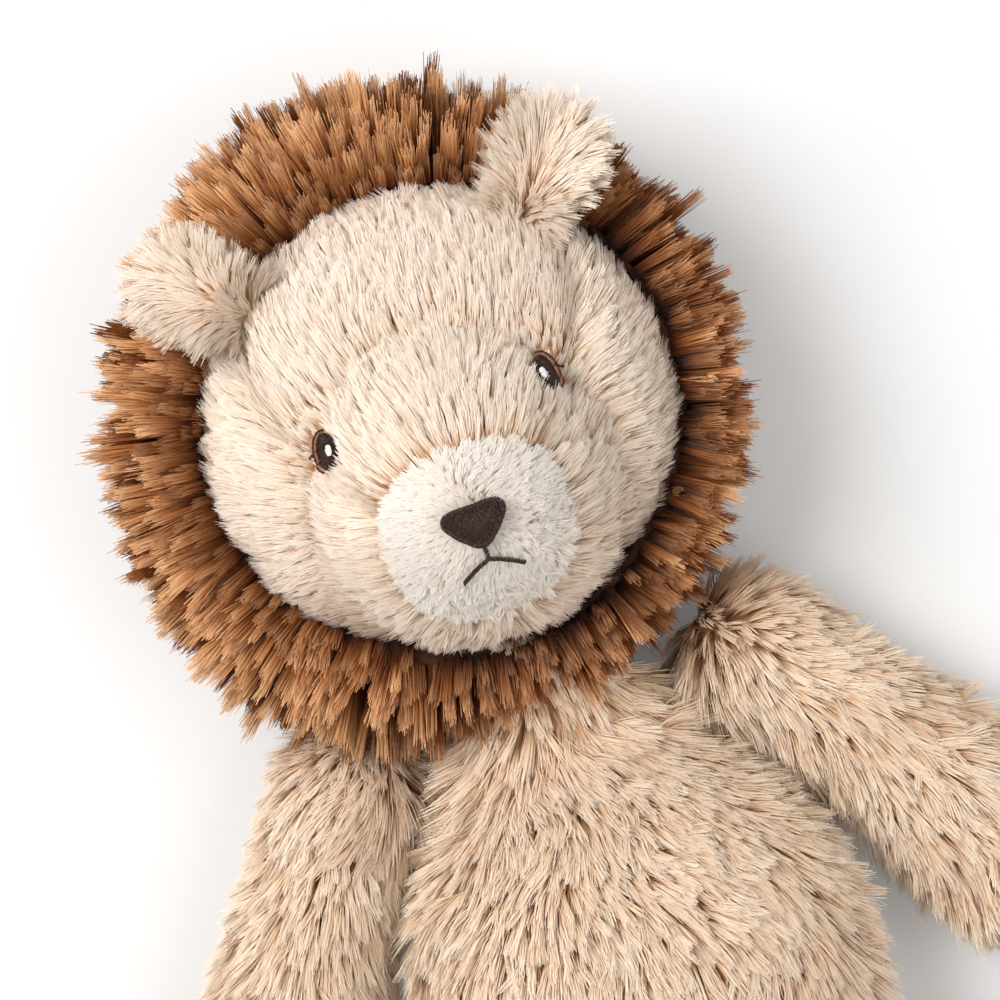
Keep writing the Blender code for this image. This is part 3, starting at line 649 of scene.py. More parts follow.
@dataclass
class Skin:
    """A smooth grid of points that a panel follows; rows run along the form, columns round it.

    The core is one inside point for the whole grid, or one for each row, and tells which side
    is outward.
    """

    points: Array
    core: Array
    wraps: bool = False

    def normals(self) -> Array:
        """Outward unit normals at the grid's points."""
        p = self.points
        if self.wraps:
            round_way = np.roll(p, -1, axis=1) - np.roll(p, 1, axis=1)
        else:
            round_way = np.gradient(p, axis=1)
        found = unit(np.cross(round_way, np.gradient(p, axis=0)))
        return -found if (found * (p - self.core)).sum() < 0 else found

    def inset(self, depth: float | Array) -> "Skin":
        """The same grid moved inward.

        Args:
            depth: how far, all over or at each point.

        Returns:
            The moved grid.
        """
        depth = np.broadcast_to(depth, self.points.shape[:2])[..., None]
        return Skin(self.points - self.normals() * depth, self.core, self.wraps)

    def part(self, rows: slice, columns: slice) -> "Skin":
        """A panel cut out of the grid.

        Args:
            rows: which rows.
            columns: which columns.

        Returns:
            The open grid of that part.
        """
        core = self.core if self.core.ndim < 3 else self.core[rows]
        whole = self.points
        if self.wraps:
            whole = np.concatenate((whole, whole[:, :1]), axis=1)
        return Skin(whole[rows, columns], core)

    def scatter(self, spacing: float, rng: np.random.Generator) -> Spots:
        """Scatter places evenly over the grid.

        Args:
            spacing: how far apart they are on average.
            rng: the source of random draws.

        Returns:
            The places.
        """
        p, n = self.points, self.normals()
        if self.wraps:
            p, n = (np.concatenate((grid, grid[:, :1]), axis=1) for grid in (p, n))
        a, b, c, d = p[:-1, :-1], p[:-1, 1:], p[1:, 1:], p[1:, :-1]
        area = np.linalg.norm(np.cross(c - a, d - b), axis=2) / 2
        count = max(1, int(area.sum() / spacing**2))
        draws = (np.arange(count) + rng.uniform(0, 1, count)) / count
        shares = np.cumsum(area.ravel() / area.sum())
        chosen = np.searchsorted(shares, draws).clip(0, area.size - 1)
        row, column = np.divmod(chosen, area.shape[1])
        s, t = rng.uniform(0, 1, (2, count))[:, :, None]

        def between(grid: Array) -> Array:
            low = grid[row, column] * (1 - t) + grid[row, column + 1] * t
            high = grid[row + 1, column] * (1 - t) + grid[row + 1, column + 1] * t
            return low * (1 - s) + high * s

        normals = unit(between(n))
        ways = []
        for after in (p[row + 1, column], p[row, column + 1]):
            step = after - p[row, column]
            ways.append(unit(step - normals * (step * normals).sum(1, keepdims=True)))
        row_share = (row + s[:, 0]) / (p.shape[0] - 1)
        column_share = (column + t[:, 0]) / (p.shape[1] - 1)
        return Spots(between(p), normals, ways[0], ways[1], row_share, column_share)

    def cloth(self, name: str, finish: Finish, thickness: float = CLOTH) -> bpy.types.Object:
        """The panel's backing, a closed shell of cloth under the grid.

        Args:
            name: the piece's name.
            finish: its cloth.
            thickness: how thick it is.

        Returns:
            The backing.
        """
        rows, columns = self.points.shape[:2]
        inner = self.inset(thickness).points
        count = rows * columns
        points = np.concatenate((self.points.reshape(-1, 3), inner.reshape(-1, 3)))
        outer = grid_faces(rows, columns, self.wraps)
        sheets = [outer, (outer + count)[:, ::-1]]
        number = np.arange(count).reshape(rows, columns)
        edges = [number[0], number[-1]]
        if not self.wraps:
            edges += [number[:, 0], number[:, -1]]
        for edge in edges:
            low, high = edge[:-1], edge[1:]
            if self.wraps:
                low, high = edge, np.roll(edge, -1)
            sheets.append(np.stack((low, high, high + count, low + count), axis=1))
        thing = new_mesh(name, points, np.concatenate(sheets), STOCK.take(finish))
        weld(thing)
        return thing

    def solid(self, name: str, finish: Finish) -> bpy.types.Object:
        """A closed solid inside a grid that wraps, its ends drawn to their middles.

        Args:
            name: the piece's name.
            finish: its material.

        Returns:
            The solid.
        """
        rows, columns = self.points.shape[:2]
        middles = (self.points[k].mean(axis=0) for k in (0, -1))
        ends = [np.repeat(middle[None], columns, axis=0) for middle in middles]
        points = np.concatenate((ends[0], self.points.reshape(-1, 3), ends[1]))
        faces = grid_faces(rows + 2, columns, True)
        thing = new_mesh(name, points, faces, STOCK.take(finish))
        weld(thing)
        return thing


def weld(thing: bpy.types.Object) -> None:
    """Weld a piece's doubled points and turn its faces outward.

    Args:
        thing: the piece.
    """
    bm = bmesh.new()
    bm.from_mesh(thing.data)
    bmesh.ops.remove_doubles(bm, verts=bm.verts, dist=0.001 * MM)
    bmesh.ops.recalc_face_normals(bm, faces=bm.faces)
    bm.to_mesh(thing.data)
    bm.free()


def brushed(
    skin: Skin, pile: Pile, lay: Callable[[Spots], Array], rng: np.random.Generator, seed: int
) -> Bed:
    """Scatter tufts over a skin, each leaning the way the pile is brushed.

    Args:
        skin: the cloth they are rooted in.
        pile: how it grows.
        lay: which way it is brushed at scattered places, not yet level with the cloth.
        rng: the source of random draws.
        seed: which noise shades it.

    Returns:
        The bed.
    """
    spots = skin.scatter(pile.spacing, rng)
    points, normals = spots.points, spots.normals
    count = len(points)
    swirl = np.stack([waves(points, BRUSHING.swirl, seed + k) for k in (1, 2, 3)], axis=1)
    uneven = swirl + BRUSHING.swirl_noise * rng.normal(size=(count, 3))
    way = unit(lay(spots)) + pile.wander * uneven
    way = unit(way - normals * (way * normals).sum(1, keepdims=True))
    swell = BRUSHING.swell * waves(points, pile.clump, seed + 6)
    swell = swell + BRUSHING.swell * rng.normal(size=count)
    degrees = np.clip(
        pile.lift + pile.lift_spread * swell, BRUSHING.least_lift, BRUSHING.most_lift
    )
    lift = np.radians(degrees)[:, None]
    heading = normals * np.sin(lift) + way * np.cos(lift)
    droop = way - normals * math.tan(BRUSHING.droop)
    broad, single = BRUSHING.tone
    shade = 0.5 + broad * waves(points, BRUSHING.tone_size, seed + 4)
    shade = shade + single * rng.normal(size=count)
    scale = 1 + pile.length_spread * rng.normal(size=count)
    scale = scale + BRUSHING.trim * waves(points, BRUSHING.trim_size, seed + 5)
    return Bed(points, normals, heading, droop, shade, scale, spots.rows)


def grow_piece(
    name: str, bed: Bed, pile: Pile, finish: AcrylicPile, seed: int
) -> bpy.types.Object:
    """Grow one piece of pile: tufts of fibres, each fibre a tapered ribbon.

    A fibre is round, so it is lit across its lean, whichever way its ribbon is rolled.

    Args:
        name: the piece's name.
        bed: where the tufts are rooted and how they lean.
        pile: how they grow.
        finish: what they are made of.
        seed: which random draws.

    Returns:
        The pile, one mesh.
    """
    rng = np.random.default_rng(seed)
    total = len(bed.points) * pile.fibres

    def spread(values: Array) -> Array:
        return np.repeat(values, pile.fibres, axis=0)

    normals, axis, droop = spread(bed.normals), spread(bed.heading), spread(bed.droop)
    first = unit(np.cross(normals, droop))
    second = np.cross(normals, first)
    angle = rng.uniform(0, 2 * math.pi, total)[:, None]
    reach = pile.tuft * np.sqrt(rng.uniform(0, 1, total))[:, None]
    offset = (first * np.cos(angle) + second * np.sin(angle)) * reach
    heading = unit(axis + pile.stray * rng.normal(size=(total, 3)))
    uneven = 1 + FIBRE.length_spread * rng.normal(size=total)
    length = pile.length * spread(bed.scale) * uneven
    length = np.maximum(length, pile.length * FIBRE.shortest)[:, None]
    roots = spread(bed.points) + offset
    roll = rng.normal(0, FIBRE.roll_spread, total)
    roll = np.clip(roll, -FIBRE.roll_limit, FIBRE.roll_limit)[:, None]
    floor = (FIBRE.rest_low + FIBRE.rest_span * rng.uniform(0, 1, total)) * MM
    stations = np.linspace(0, 1, pile.steps + 1)
    widths = np.interp(stations, (0, FIBRE.widest_at, 1), (FIBRE.root_width, 1.0, pile.tip))
    run = stations[:, None, None]
    path = roots - offset * pile.gather * run**FIBRE.gather_power
    arc = run * heading * (1 - pile.bend * run) + droop * pile.bend * run**2
    path = path + length * arc
    edges, facings = [], []
    for place, tangent, wide in zip(path, unit(np.gradient(path, axis=0)), widths):
        flatways = unit(np.cross(tangent, normals))
        upright = np.cross(flatways, tangent)
        half = (flatways * np.cos(roll) + upright * np.sin(roll)) * (pile.width * wide / 2)
        facing = upright - flatways * np.sin(roll) / 2
        place[:, 2] = np.maximum(place[:, 2], floor)
        edges.append(np.stack((place - half, place + half), axis=1))
        shaded = unit(normals * pile.softness + facing * (1 - pile.softness))
        facings.append(np.repeat(shaded[:, None], 2, axis=1))
    points = np.stack(edges, axis=1)
    points[..., 2] = np.maximum(points[..., 2], FIBRE.ground_gap)
    per_fibre = 2 * (pile.steps + 1)
    base = (np.arange(total) * per_fibre)[:, None, None]
    quads = np.array([[2 * k, 2 * k + 1, 2 * k + 3, 2 * k + 2] for k in range(pile.steps)])
    faces = (base + quads).reshape(-1, 4)
    thing = new_mesh(name, points.reshape(-1, 3), faces, STOCK.take(finish))
    facing = thing.data.attributes.new("custom_normal", "FLOAT_VECTOR", "POINT")
    facing.data.foreach_set("vector", np.stack(facings, axis=1).astype(np.float32).ravel())
    shade = np.clip(spread(bed.shade) + pile.dye * rng.normal(size=total), 0, 0.999)
    middle = (np.floor(shade * SHADE_CELLS) + 0.5) / SHADE_CELLS
    margin = CELL_FILL / SHADE_CELLS / 2
    corner = np.empty((total, pile.steps + 1, 2, 2), np.float32)
    corner[..., 0] = middle[:, None, None] + np.array([-margin, margin])
    corner[..., 1] = (FIBRE.map_margin + (1 - 2 * FIBRE.map_margin) * stations)[None, :, None]
    uv = corner.reshape(total, per_fibre, 2)[:, quads.ravel()]
    layer = thing.data.uv_layers.new(name=PILE_MAP)
    layer.data.foreach_set("uv", uv.astype(np.float32).ravel())
    return thing


def grow(name: str, bed: Bed, pile: Pile, plush: Plush, seed: int, body: str) -> None:
    """Grow a panel's pile in as many pieces as its fibres need, and hand them over.

    Args:
        name: the pile's name, which its pieces take with a number where there is more than one.
        bed: where the tufts are rooted and how they lean.
        pile: how they grow.
        plush: what the panel is cut from.
        seed: which random draws.
        body: the body that the pile moves with.
    """
    parts = max(1, math.ceil(len(bed.points) * pile.fibres / PIECE_FIBRES))
    share = np.arange(len(bed.points)) * parts // len(bed.points)
    for part in range(parts):
        title = name if parts == 1 else f"{name}_{part + 1}"
        thing = grow_piece(title, bed.kept(share == part), pile, plush.pile, seed + part)
        hand_over(thing, body, plush.slot)


def back(
    node: str,
    skin: Skin,
    plush: Plush,
    body: str,
    fill: float = STUFFING,
    thickness: float = CLOTH,
) -> None:
    """Make a panel's backing and hand it over.

    Args:
        node: the CAD node it stands for.
        skin: the panel's grid.
        plush: what the panel is cut from.
        body: the body it moves with.
        fill: how tightly it is padded.
        thickness: how thick the cloth is.
    """
    cloth = skin.cloth(f"{node}_backing", plush.backing, thickness)
    hand_over(cloth, body, plush.slot, [node], fill)


def hand_over(
    thing: bpy.types.Object,
    body: str,
    slot: str,
    nodes: Sequence[str] = (),
    fill: float | None = None,
) -> None:
    """Attach a piece to the body it moves with, and hide the CAD nodes it stands for.

    Args:
        thing: the piece.
        body: the body it moves with.
        slot: the record's material slot; not used.
        nodes: the CAD nodes it stands for.
        fill: how tightly it is padded, where it is; not used.
    """
    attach(thing, body)
    if nodes:
        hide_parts(*nodes)
    log.info("%s rides on %s, %d faces", thing.name, body, len(thing.data.polygons))


def polar(angle: float | Array, turn: Array) -> Array:
    """Unit directions at an angle from +Z, turned about it from +X."""
    sine, cosine = np.broadcast_arrays(np.sin(angle), np.cos(angle), turn)[:2]
    return np.stack((sine * np.cos(turn), sine * np.sin(turn), cosine), axis=-1)


@dataclass(frozen=True)
class HeadForm:
    """The head's surface at the mean height of its pile: a dome with the muzzle's swell on it."""

    centre: Array
    half_width: float = 76 * MM
    half_length: float = 74 * MM
    front: float = 56 * MM
    back: float = 40 * MM
    fullness: float = 2.4
    muzzle_half_width: float = 45 * MM
    muzzle_half_length: float = 50 * MM
    muzzle_drop: float = 28 * MM
    muzzle_rise: float = 27 * MM
    muzzle_fullness: float = 2.6
    muzzle_edge: float = 1.3

    def points(self, directions: Array, depth: float | Array = 0.0) -> Array:
        """Places on the head.

        Args:
            directions: unit directions from the head's middle.
            depth: how far below the pile's mean height.

        Returns:
            The places.
        """
        x = directions[..., 0] * (self.half_width - depth)
        y = directions[..., 1] * (self.half_length - depth)
        spread = np.minimum(np.hypot(directions[..., 0], directions[..., 1]), 1.0)
        high = (self.front - depth) * (1 - spread**self.fullness) ** (1 / self.fullness)
        along = (y + self.muzzle_drop) / self.muzzle_half_length
        reach = np.hypot(x / self.muzzle_half_width, along)
        swell = np.maximum(0, 1 - reach**self.muzzle_fullness) ** self.muzzle_edge
        high = high + self.muzzle_rise * swell
        low = directions[..., 2] * (self.back - depth)
        return self.centre + np.stack((x, y, np.where(directions[..., 2] > 0, high, low)), axis=-1)

    def aim(self, x: Array, y: Array) -> Array:
        """Unit directions whose front surface lies over places in the head's own x and y."""
        across, along = x / self.half_width, y / self.half_length
        high = np.sqrt(np.maximum(0, 1 - across**2 - along**2))
        return np.stack((across, along, high), axis=-1)

    def over(self, x: Array, y: Array, lift: float | Array = 0.0) -> tuple[Array, Array]:
        """Places over the head's own x and y, raised off the surface.

        Args:
            x: across the head.
            y: along it.
            lift: how far off the pile's mean height.

        Returns:
            The places and the surface's normals there.
        """
        x, y = np.broadcast_arrays(np.asarray(x, float), np.asarray(y, float))
        step = 0.3 * MM
        right = self.points(self.aim(x + step, y)) - self.points(self.aim(x - step, y))
        up = self.points(self.aim(x, y + step)) - self.points(self.aim(x, y - step))
        normal = unit(np.cross(right, up))
        raised = np.broadcast_to(lift, x.shape)[..., None]
        return self.points(self.aim(x, y)) + normal * raised, normal


@dataclass
class Face:
    """The three cream panels of the face and the white patch on the muzzle."""

    form: HeadForm
    rim_angle: float = math.radians(80)
    patch_half_width: float = 27.0 * MM
    patch_half_length: float = 24.8 * MM
    patch_drop: float = 39.2 * MM
    patch_squareness: float = 0.84
    patch_seam_turn: float = math.radians(25)
    rim_seam_turn: float = math.radians(48)
    seam_bend: tuple[float, float] = (-0.08, -0.27)
    backing_depth: float = 6.5 * MM
    crease_depth: float = 3.0 * MM
    crease_reach: float = 4.5 * MM
    lip_depth: float = 2.5 * MM
    lip_reach: float = 4.0 * MM
    lip_length: float = 0.6
    lip_waver: float = 1.8 * MM
    lip_start: float = 2 * MM
    lip_top: float = 10 * MM
    lip_fall: float = 25 * MM
    lip_shares: tuple[float, float] = (0.45, 0.55)
    lip_blend: float = 6 * MM
    lip_regrowth: float = 16 * MM
    fur: Pile = Pile(
        12 * MM, 1.75 * MM, 13, 1.1 * MM, width=0.29 * MM, lift=44, lift_spread=10, gather=0.35,
        clump=9 * MM, softness=0.55,
    )
    patch_fur: Pile = Pile(
        5.6 * MM, 1.0 * MM, 12, 0.8 * MM, width=0.3 * MM, lift=50, lift_spread=6, bend=0.2,
        gather=0.0, stray=0.08, wander=0.3, clump=6 * MM, softness=0.6, dye=0.05,
    )
    teased_fur: Pile = Pile(
        8.5 * MM, 1.7 * MM, 13, 1.1 * MM, width=0.25 * MM, lift=42, lift_spread=20, bend=0.4,
        gather=0.75, stray=0.13, wander=0.6, tip=0.25, clump=5 * MM, softness=0.35,
    )
    eye_half: tuple[float, float] = (3.5 * MM, 6.2 * MM)
    eye_trim: tuple[float, float] = (0.3, 9 * MM)
    patch_parting: float = 33 * MM
    nose_oval: tuple[float, float, float] = (9.5, 7.0, 34 * MM)
    nose_trim: tuple[float, float] = (0.7, 3 * MM)
    low_trim: float = 0.3
    trimmed_low: tuple[float, float, float] = (44 * MM, 0.6, 18 * MM)
    teased_oval: tuple[float, float, float] = (13, 13, 38 * MM)
    teased_low: tuple[float, float, float] = (45 * MM, 0.75, 14 * MM)
    patch_depth_share: float = 0.8
    rows: int = 48
    columns: int = 48

    def patch_edge(self, turn: Array) -> Array:
        """Directions of the white patch's edge."""
        cosine, sine = np.cos(turn), np.sin(turn)
        power = self.patch_squareness
        x = self.patch_half_width * np.sign(cosine) * np.abs(cosine) ** power
        y = self.patch_half_length * np.sign(sine) * np.abs(sine) ** power
        return self.form.aim(x, y - self.patch_drop)

    def panel(self, patch_turns: tuple, rim_turns: tuple, bends: tuple, creases: tuple) -> Skin:
        """The backing of one panel, from the white patch out to the rim, between two seams.

        Args:
            patch_turns: where its seams leave the patch.
            rim_turns: where they reach the rim.
            bends: how each seam bends.
            creases: how deep the crease along each seam is, as a share of the whole depth.

        Returns:
            The panel's grid.
        """
        share = np.linspace(0, 1, self.columns + 1)
        start = self.patch_edge(patch_turns[0] + share * (patch_turns[1] - patch_turns[0]))
        end = polar(self.rim_angle, rim_turns[0] + share * (rim_turns[1] - rim_turns[0]))
        share = share[:, None]
        bend = bends[0] * np.maximum(0, 1 - 2 * share) + bends[1] * np.maximum(0, 2 * share - 1)
        middle = (start + end) / 2 + bend
        s = np.linspace(0, 1, self.rows + 1)[:, None, None]
        directions = unit(start * (1 - s) ** 2 + middle * 2 * s * (1 - s) + end * s**2)
        level = self.form.points(directions, self.backing_depth)
        run = np.linalg.norm(np.diff(level, axis=1), axis=2).cumsum(axis=1)
        run = np.concatenate((np.zeros((len(run), 1)), run), axis=1)
        depth = self.backing_depth
        for far, crease in ((run, creases[0]), (run[:, -1:] - run, creases[1])):
            depth = depth + crease * self.crease_depth * np.exp(-((far / self.crease_reach) ** 2))
        local = directions[..., :2] * (self.form.half_width, self.form.half_length)
        low = np.clip((self.lip_top - local[..., 1]) / self.lip_fall, 0, 1)
        groove = np.exp(-(((self.beyond_lip(local) - self.lip_start) / self.lip_reach) ** 2))
        least, more = self.lip_shares
        depth = depth + (least + more * low) * self.lip_depth * groove
        return Skin(self.form.points(directions, depth), self.form.centre)

    def beyond_lip(self, local: Array) -> Array:
        """How far places in the head's own x and y lie outside the muzzle's swell.

        Args:
            local: the places.

        Returns:
            The distances, negative on the muzzle.
        """
        form = self.form
        along = (local[..., 1] + form.muzzle_drop) / form.muzzle_half_length
        reach = np.hypot(local[..., 0] / form.muzzle_half_width, along)
        level = np.pad(local.reshape(-1, 2), ((0, 0), (0, 1)))
        uneven = self.lip_waver * waves(level, 22 * MM, 95).reshape(reach.shape)
        return (reach - 1) * form.muzzle_half_width + uneven

    def lay(self, spots: Spots, spread: float, toward: float) -> Array:
        """Brush the pile out from the patch on the muzzle, and from a place below beyond it.

        Args:
            spots: places on a panel.
            spread: how far the pile beyond the muzzle's lip spreads sideways, as a share.
            toward: how far under the head's middle it is brushed from.

        Returns:
            Directions, level with the floor.
        """
        local = (spots.points - self.form.centre)[:, :2]
        out = local * (spread, 1) + np.array([0, toward])
        share = np.clip(0.5 - self.beyond_lip(local) / self.lip_blend, 0, 1)[:, None]
        near = unit(local + np.array([0, self.patch_drop]))
        flat = near * share + unit(out) * (1 - share)
        return np.concatenate((flat, np.zeros((len(flat), 1))), axis=1)

    def patch_lay(self, spots: Spots) -> Array:
        """Pile of the white patch, brushed out from its parting under the nose."""
        local = spots.points - self.form.centre
        return local * (1, 1, 0) + np.array([0, self.patch_parting, 0])

    def off_nose(self, local: Array, oval: tuple[float, float, float]) -> Array:
        """How far places lie outside an oval round the nose, as a share of it in millimetres.

        Args:
            local: places, measured from the head's middle.
            oval: its half width and half length in millimetres, and how low it lies.

        Returns:
            The distances, negative under the nose.
        """
        half_width, half_length, drop = oval
        return np.hypot(local[:, 0] / half_width, (local[:, 1] + drop) / half_length) - 1 * MM

    def lowness(self, local: Array, line: tuple[float, float, float]) -> Array:
        """How far places lie below a slanted line on the patch.

        Args:
            local: places, measured from the head's middle.
            line: how low it lies, its slant, and the distance that counts as one.

        Returns:
            The distances, negative above the line.
        """
        drop, slant, reach = line
        return (-local[:, 1] - drop + slant * local[:, 0]) / reach

    def trimmed(self, bed: Bed) -> Bed:
        """Clear the pile from the embroidery and shorten it round about.

        Args:
            bed: tufts anywhere on the face.

        Returns:
            The bed without those under the embroidery.
        """
        local = bed.points - self.form.centre
        keep = np.ones(len(local), bool)
        beyond = self.beyond_lip(local[:, :2])
        regrown = np.clip(self.lip_length + beyond / self.lip_regrowth, 0, 1)
        bed.scale = bed.scale * np.where(beyond > 0, regrown, 1.0)
        least, reach = self.eye_trim
        for side in (-1, 1):
            dx = (local[:, 0] - side * EYE_X) / self.eye_half[0]
            dy = (local[:, 1] - EYE_RISE) / self.eye_half[1]
            far = (np.hypot(dx, dy) - 1) * self.eye_half[0]
            keep &= far > 0
            bed.scale = bed.scale * np.clip(least + far / reach, least, 1)
        return bed.kept(keep)

    def build(self) -> None:
        """Make the panels' backing and pile."""
        bend = np.array([*self.seam_bend, 0.0])
        other = bend * (-1, 1, 0)
        none = np.zeros(3)
        chin = math.radians(270)
        low, high = self.patch_seam_turn, self.rim_seam_turn
        right = (math.pi - low, chin), (math.pi - high, chin), (other, none), (1.0, 0.3)
        chin -= 2 * math.pi
        left = (low, chin), (high, chin), (bend, none), (1.0, 0.3)
        top = (low, math.pi - low), (high, math.pi - high), (bend, other), (1.0, 1.0)
        panels = (
            ("forehead_gusset", top, 0.75, 75 * MM),
            ("cheek_right", right, 1.0, 28 * MM),
            ("cheek_left", left, 1.0, 28 * MM),
        )
        for number, (node, shape, spread, toward) in enumerate(panels):
            skin = self.panel(*shape)
            back(node, skin, CREAM, "head")
            rng = np.random.default_rng(100 + number)
            lay = partial(self.lay, spread=spread, toward=toward)
            bed = self.trimmed(brushed(skin, self.fur, lay, rng, 110 + 10 * number))
            grow(f"{node}_pile", bed, self.fur, CREAM, 150 + 3 * number, "head")

    def build_patch(self) -> None:
        """Make the white patch's backing, its short pile and the teased tufts low on it."""
        share = np.linspace(0.02, 1, 20)[:, None, None]
        centre = self.form.aim(np.array(0.0), np.array(-self.patch_drop))
        directions = unit(centre + (self.patch_edge(turns(72))[None] - centre) * share)
        points = self.form.points(directions, self.backing_depth * self.patch_depth_share)
        skin = Skin(points, self.form.centre, True)
        back("muzzle_patch", skin, WHITE, "head")
        rng = np.random.default_rng(140)
        bed = brushed(skin, self.patch_fur, self.patch_lay, rng, 145)
        local = bed.points - self.form.centre
        low = np.clip(self.lowness(local, self.trimmed_low), 0, 1)
        least, reach = self.nose_trim
        clear = np.clip(least + self.off_nose(local, self.nose_oval) / reach, least, 1)
        bed.scale = bed.scale * clear * (1 - self.low_trim * low)
        grow("muzzle_patch_pile", bed, self.patch_fur, WHITE, 149, "head")
        bed = brushed(skin, self.teased_fur, self.patch_lay, rng, 345)
        local = bed.points - self.form.centre
        keep = rng.uniform(0, 1, len(local)) < self.lowness(local, self.teased_low)
        keep &= self.off_nose(local, self.teased_oval) > 0
        grow("muzzle_patch_teased_pile", bed.kept(keep), self.teased_fur, WHITE, 349, "head")


@dataclass
class Mane:
    """The long brown pile round the face, and the hood that closes the back of the head.

    The profile runs from the face's rim over the crest and down the outer wall: the share of
    the way from the rim to the mane's edge, the height, the pile's elevation in degrees and its
    length as a share of the whole. Reach gives the tips' distance from the middle in
    millimetres at bearings in degrees, and bands where the ring's pieces of pile begin and end.
    Sway, toss in degrees, tone and trim each give a swell that neighbours share and then what
    single tufts add. Depth is how dark the crest's inner edge is painted, painted shade along the
    face's edge, and how much paler the rest.
    """

    form: HeadForm
    centre: Array
    radius: float = 100 * MM
    fur: Pile = Pile(
        25 * MM, 3.05 * MM, 28, 1.6 * MM, width=0.33 * MM, bend=0.1, gather=0.3, stray=0.035,
        tip=0.7, softness=0.72, dye=0.15,
    )
    hood_fur: Pile = Pile(
        14 * MM, 4.6 * MM, 16, 2.4 * MM, width=0.6 * MM, lift=12, gather=0.3, tip=0.5
    )
    reach: tuple[tuple[float, float], ...] = (
        (-170, 107), (-160, 109), (-145, 112), (-122, 112), (-105, 104), (-85, 100), (-65, 99),
        (-50, 97), (-35, 95), (-10, 94), (5, 96), (30, 97), (60, 97.5), (80, 102.5), (105, 105),
        (125, 102), (150, 103), (170, 103.5),
    )
    overhang: float = 21 * MM
    widest: float = 0.27
    profile: tuple[tuple[float, float, float, float], ...] = (
        (-0.12, 46, 66, 0.95),
        (-0.02, 53, 58, 1.0),
        (0.10, 55, 45, 1.0),
        (0.21, 51, 28, 0.95),
        (0.27, 43, 12, 0.85),
        (0.27, 33, 0, 0.80),
        (0.19, 23, -8, 0.86),
        (0.02, 15, -14, 0.9),
    )
    hood_profile: tuple[tuple[float, float], ...] = (
        (0.74, 12), (0.66, 7.5), (0.5, 4.6), (0.3, 4.0), (0.02, 4.0),
    )
    sway: tuple[float, float] = (0.15, 0.11)
    toss: tuple[float, float] = (10, 9)
    tone: tuple[float, float] = (0.14, 0.19)
    trim: tuple[float, float] = (0.06, 0.13)
    depth: tuple[float, float] = (0.36, 0.3)
    backing_fill: float = 0.5
    bands: tuple[tuple[str, float, float], ...] = (
        ("crest", 0.0, 0.34), ("outer", 0.34, 0.62), ("lower", 0.62, 1.01),
    )
    columns: int = 96

    def ring(self, share: Array, height: Array, turn: Array) -> Array:
        """Places on rings between the face's rim and the mane's edge."""
        rim = self.form.points(polar(math.pi / 2, turn))
        bearing, radius = np.array(self.reach).T
        outer = np.interp(np.degrees(turn), bearing, radius, period=360) * MM - self.overhang
        edge = self.centre + outer[:, None] * level_ways(turn)
        place = rim + (edge - rim) * (share / self.widest)[:, None, None]
        place[..., 2] = height[:, None]
        return place

    def build(self) -> None:
        """Make the ring's backing and its pile in three bands, then the hood."""
        turn = turns(self.columns)
        dense = curve_through(np.array(self.profile), 30)
        core = np.array([*self.centre[:2], 30 * MM])
        skin = Skin(self.ring(dense[:, 0], dense[:, 1] * MM, turn), core, True)
        backing = skin.cloth("mane_backing", BROWN.backing)
        hand_over(backing, "head", BROWN.slot, ["mane_ring"], self.backing_fill)
        rng = np.random.default_rng(200)
        spots = skin.scatter(self.fur.spacing, rng)
        row = spots.rows * (len(dense) - 1)
        elevation = np.interp(row, np.arange(len(dense)), dense[:, 2])
        share = np.interp(row, np.arange(len(dense)), dense[:, 3])
        count = len(row)
        radial = spots.points - self.centre
        radial[:, 2] = 0
        radial = unit(radial)
        sideways = np.cross(radial, (0, 0, 1))
        (shared_sway, own_sway), (shared_toss, own_toss) = self.sway, self.toss
        sway = shared_sway * waves(spots.points, 0.024, 210) + own_sway * rng.normal(size=count)
        elevation = elevation + shared_toss * waves(spots.points, 0.02, 220)
        raised = np.radians(elevation + own_toss * rng.normal(size=count))
        heading = unit(radial + sideways * sway[:, None]) * np.cos(raised)[:, None]
        heading[:, 2] += np.sin(raised)
        droop = unit(radial + np.array([0, 0, -0.25]))
        (shared_tone, own_tone), (shared_trim, own_trim) = self.tone, self.trim
        # Painted shade: the crest's inner rows by the face's edge take darker colours, the outer
        # rows paler.
        shade = self.depth[0] + self.depth[1] * np.clip(spots.rows / 0.5, 0, 1)
        shade += shared_tone * waves(spots.points, 0.03, 230) + own_tone * rng.normal(size=count)
        uneven = 1 + own_trim * rng.normal(size=count)
        scale = share * (uneven + shared_trim * waves(spots.points, 0.015, 240))
        bed = Bed(spots.points, spots.normals, unit(heading), droop, shade, scale, spots.rows)
        for band, (name, low, high) in enumerate(self.bands):
            part = bed.kept((bed.rows >= low) & (bed.rows < high))
            grow(f"mane_{name}_pile", part, self.fur, BROWN, 250 + 5 * band, "head")
        self.build_hood(turn)

    def build_hood(self, turn: Array) -> None:
        """Make the hood's backing and the pile pressed flat under it.

        Args:
            turn: the bearings of the ring's columns.
        """
        dense = curve_through(np.array(self.hood_profile), 24)
        place = self.centre + dense[:, 0][:, None, None] * self.radius * level_ways(turn)
        place[..., 2] = (dense[:, 1] * MM)[:, None]
        skin = Skin(place, np.array([*self.centre[:2], 40 * MM]), True)
        back("mane_hood", skin, BROWN, "head", self.backing_fill)

        def outward(spots: Spots) -> Array:
            return (spots.points - self.centre) * (1, 1, 0)

        rng = np.random.default_rng(260)
        bed = brushed(skin, self.hood_fur, outward, rng, 265)
        grow("mane_hood_pile", bed, self.hood_fur, BROWN, 270, "head")


def level_ways(turn: Array) -> Array:
    """Level unit directions at bearings from +X."""
    return np.stack((np.cos(turn), np.sin(turn), 0 * turn), axis=-1)


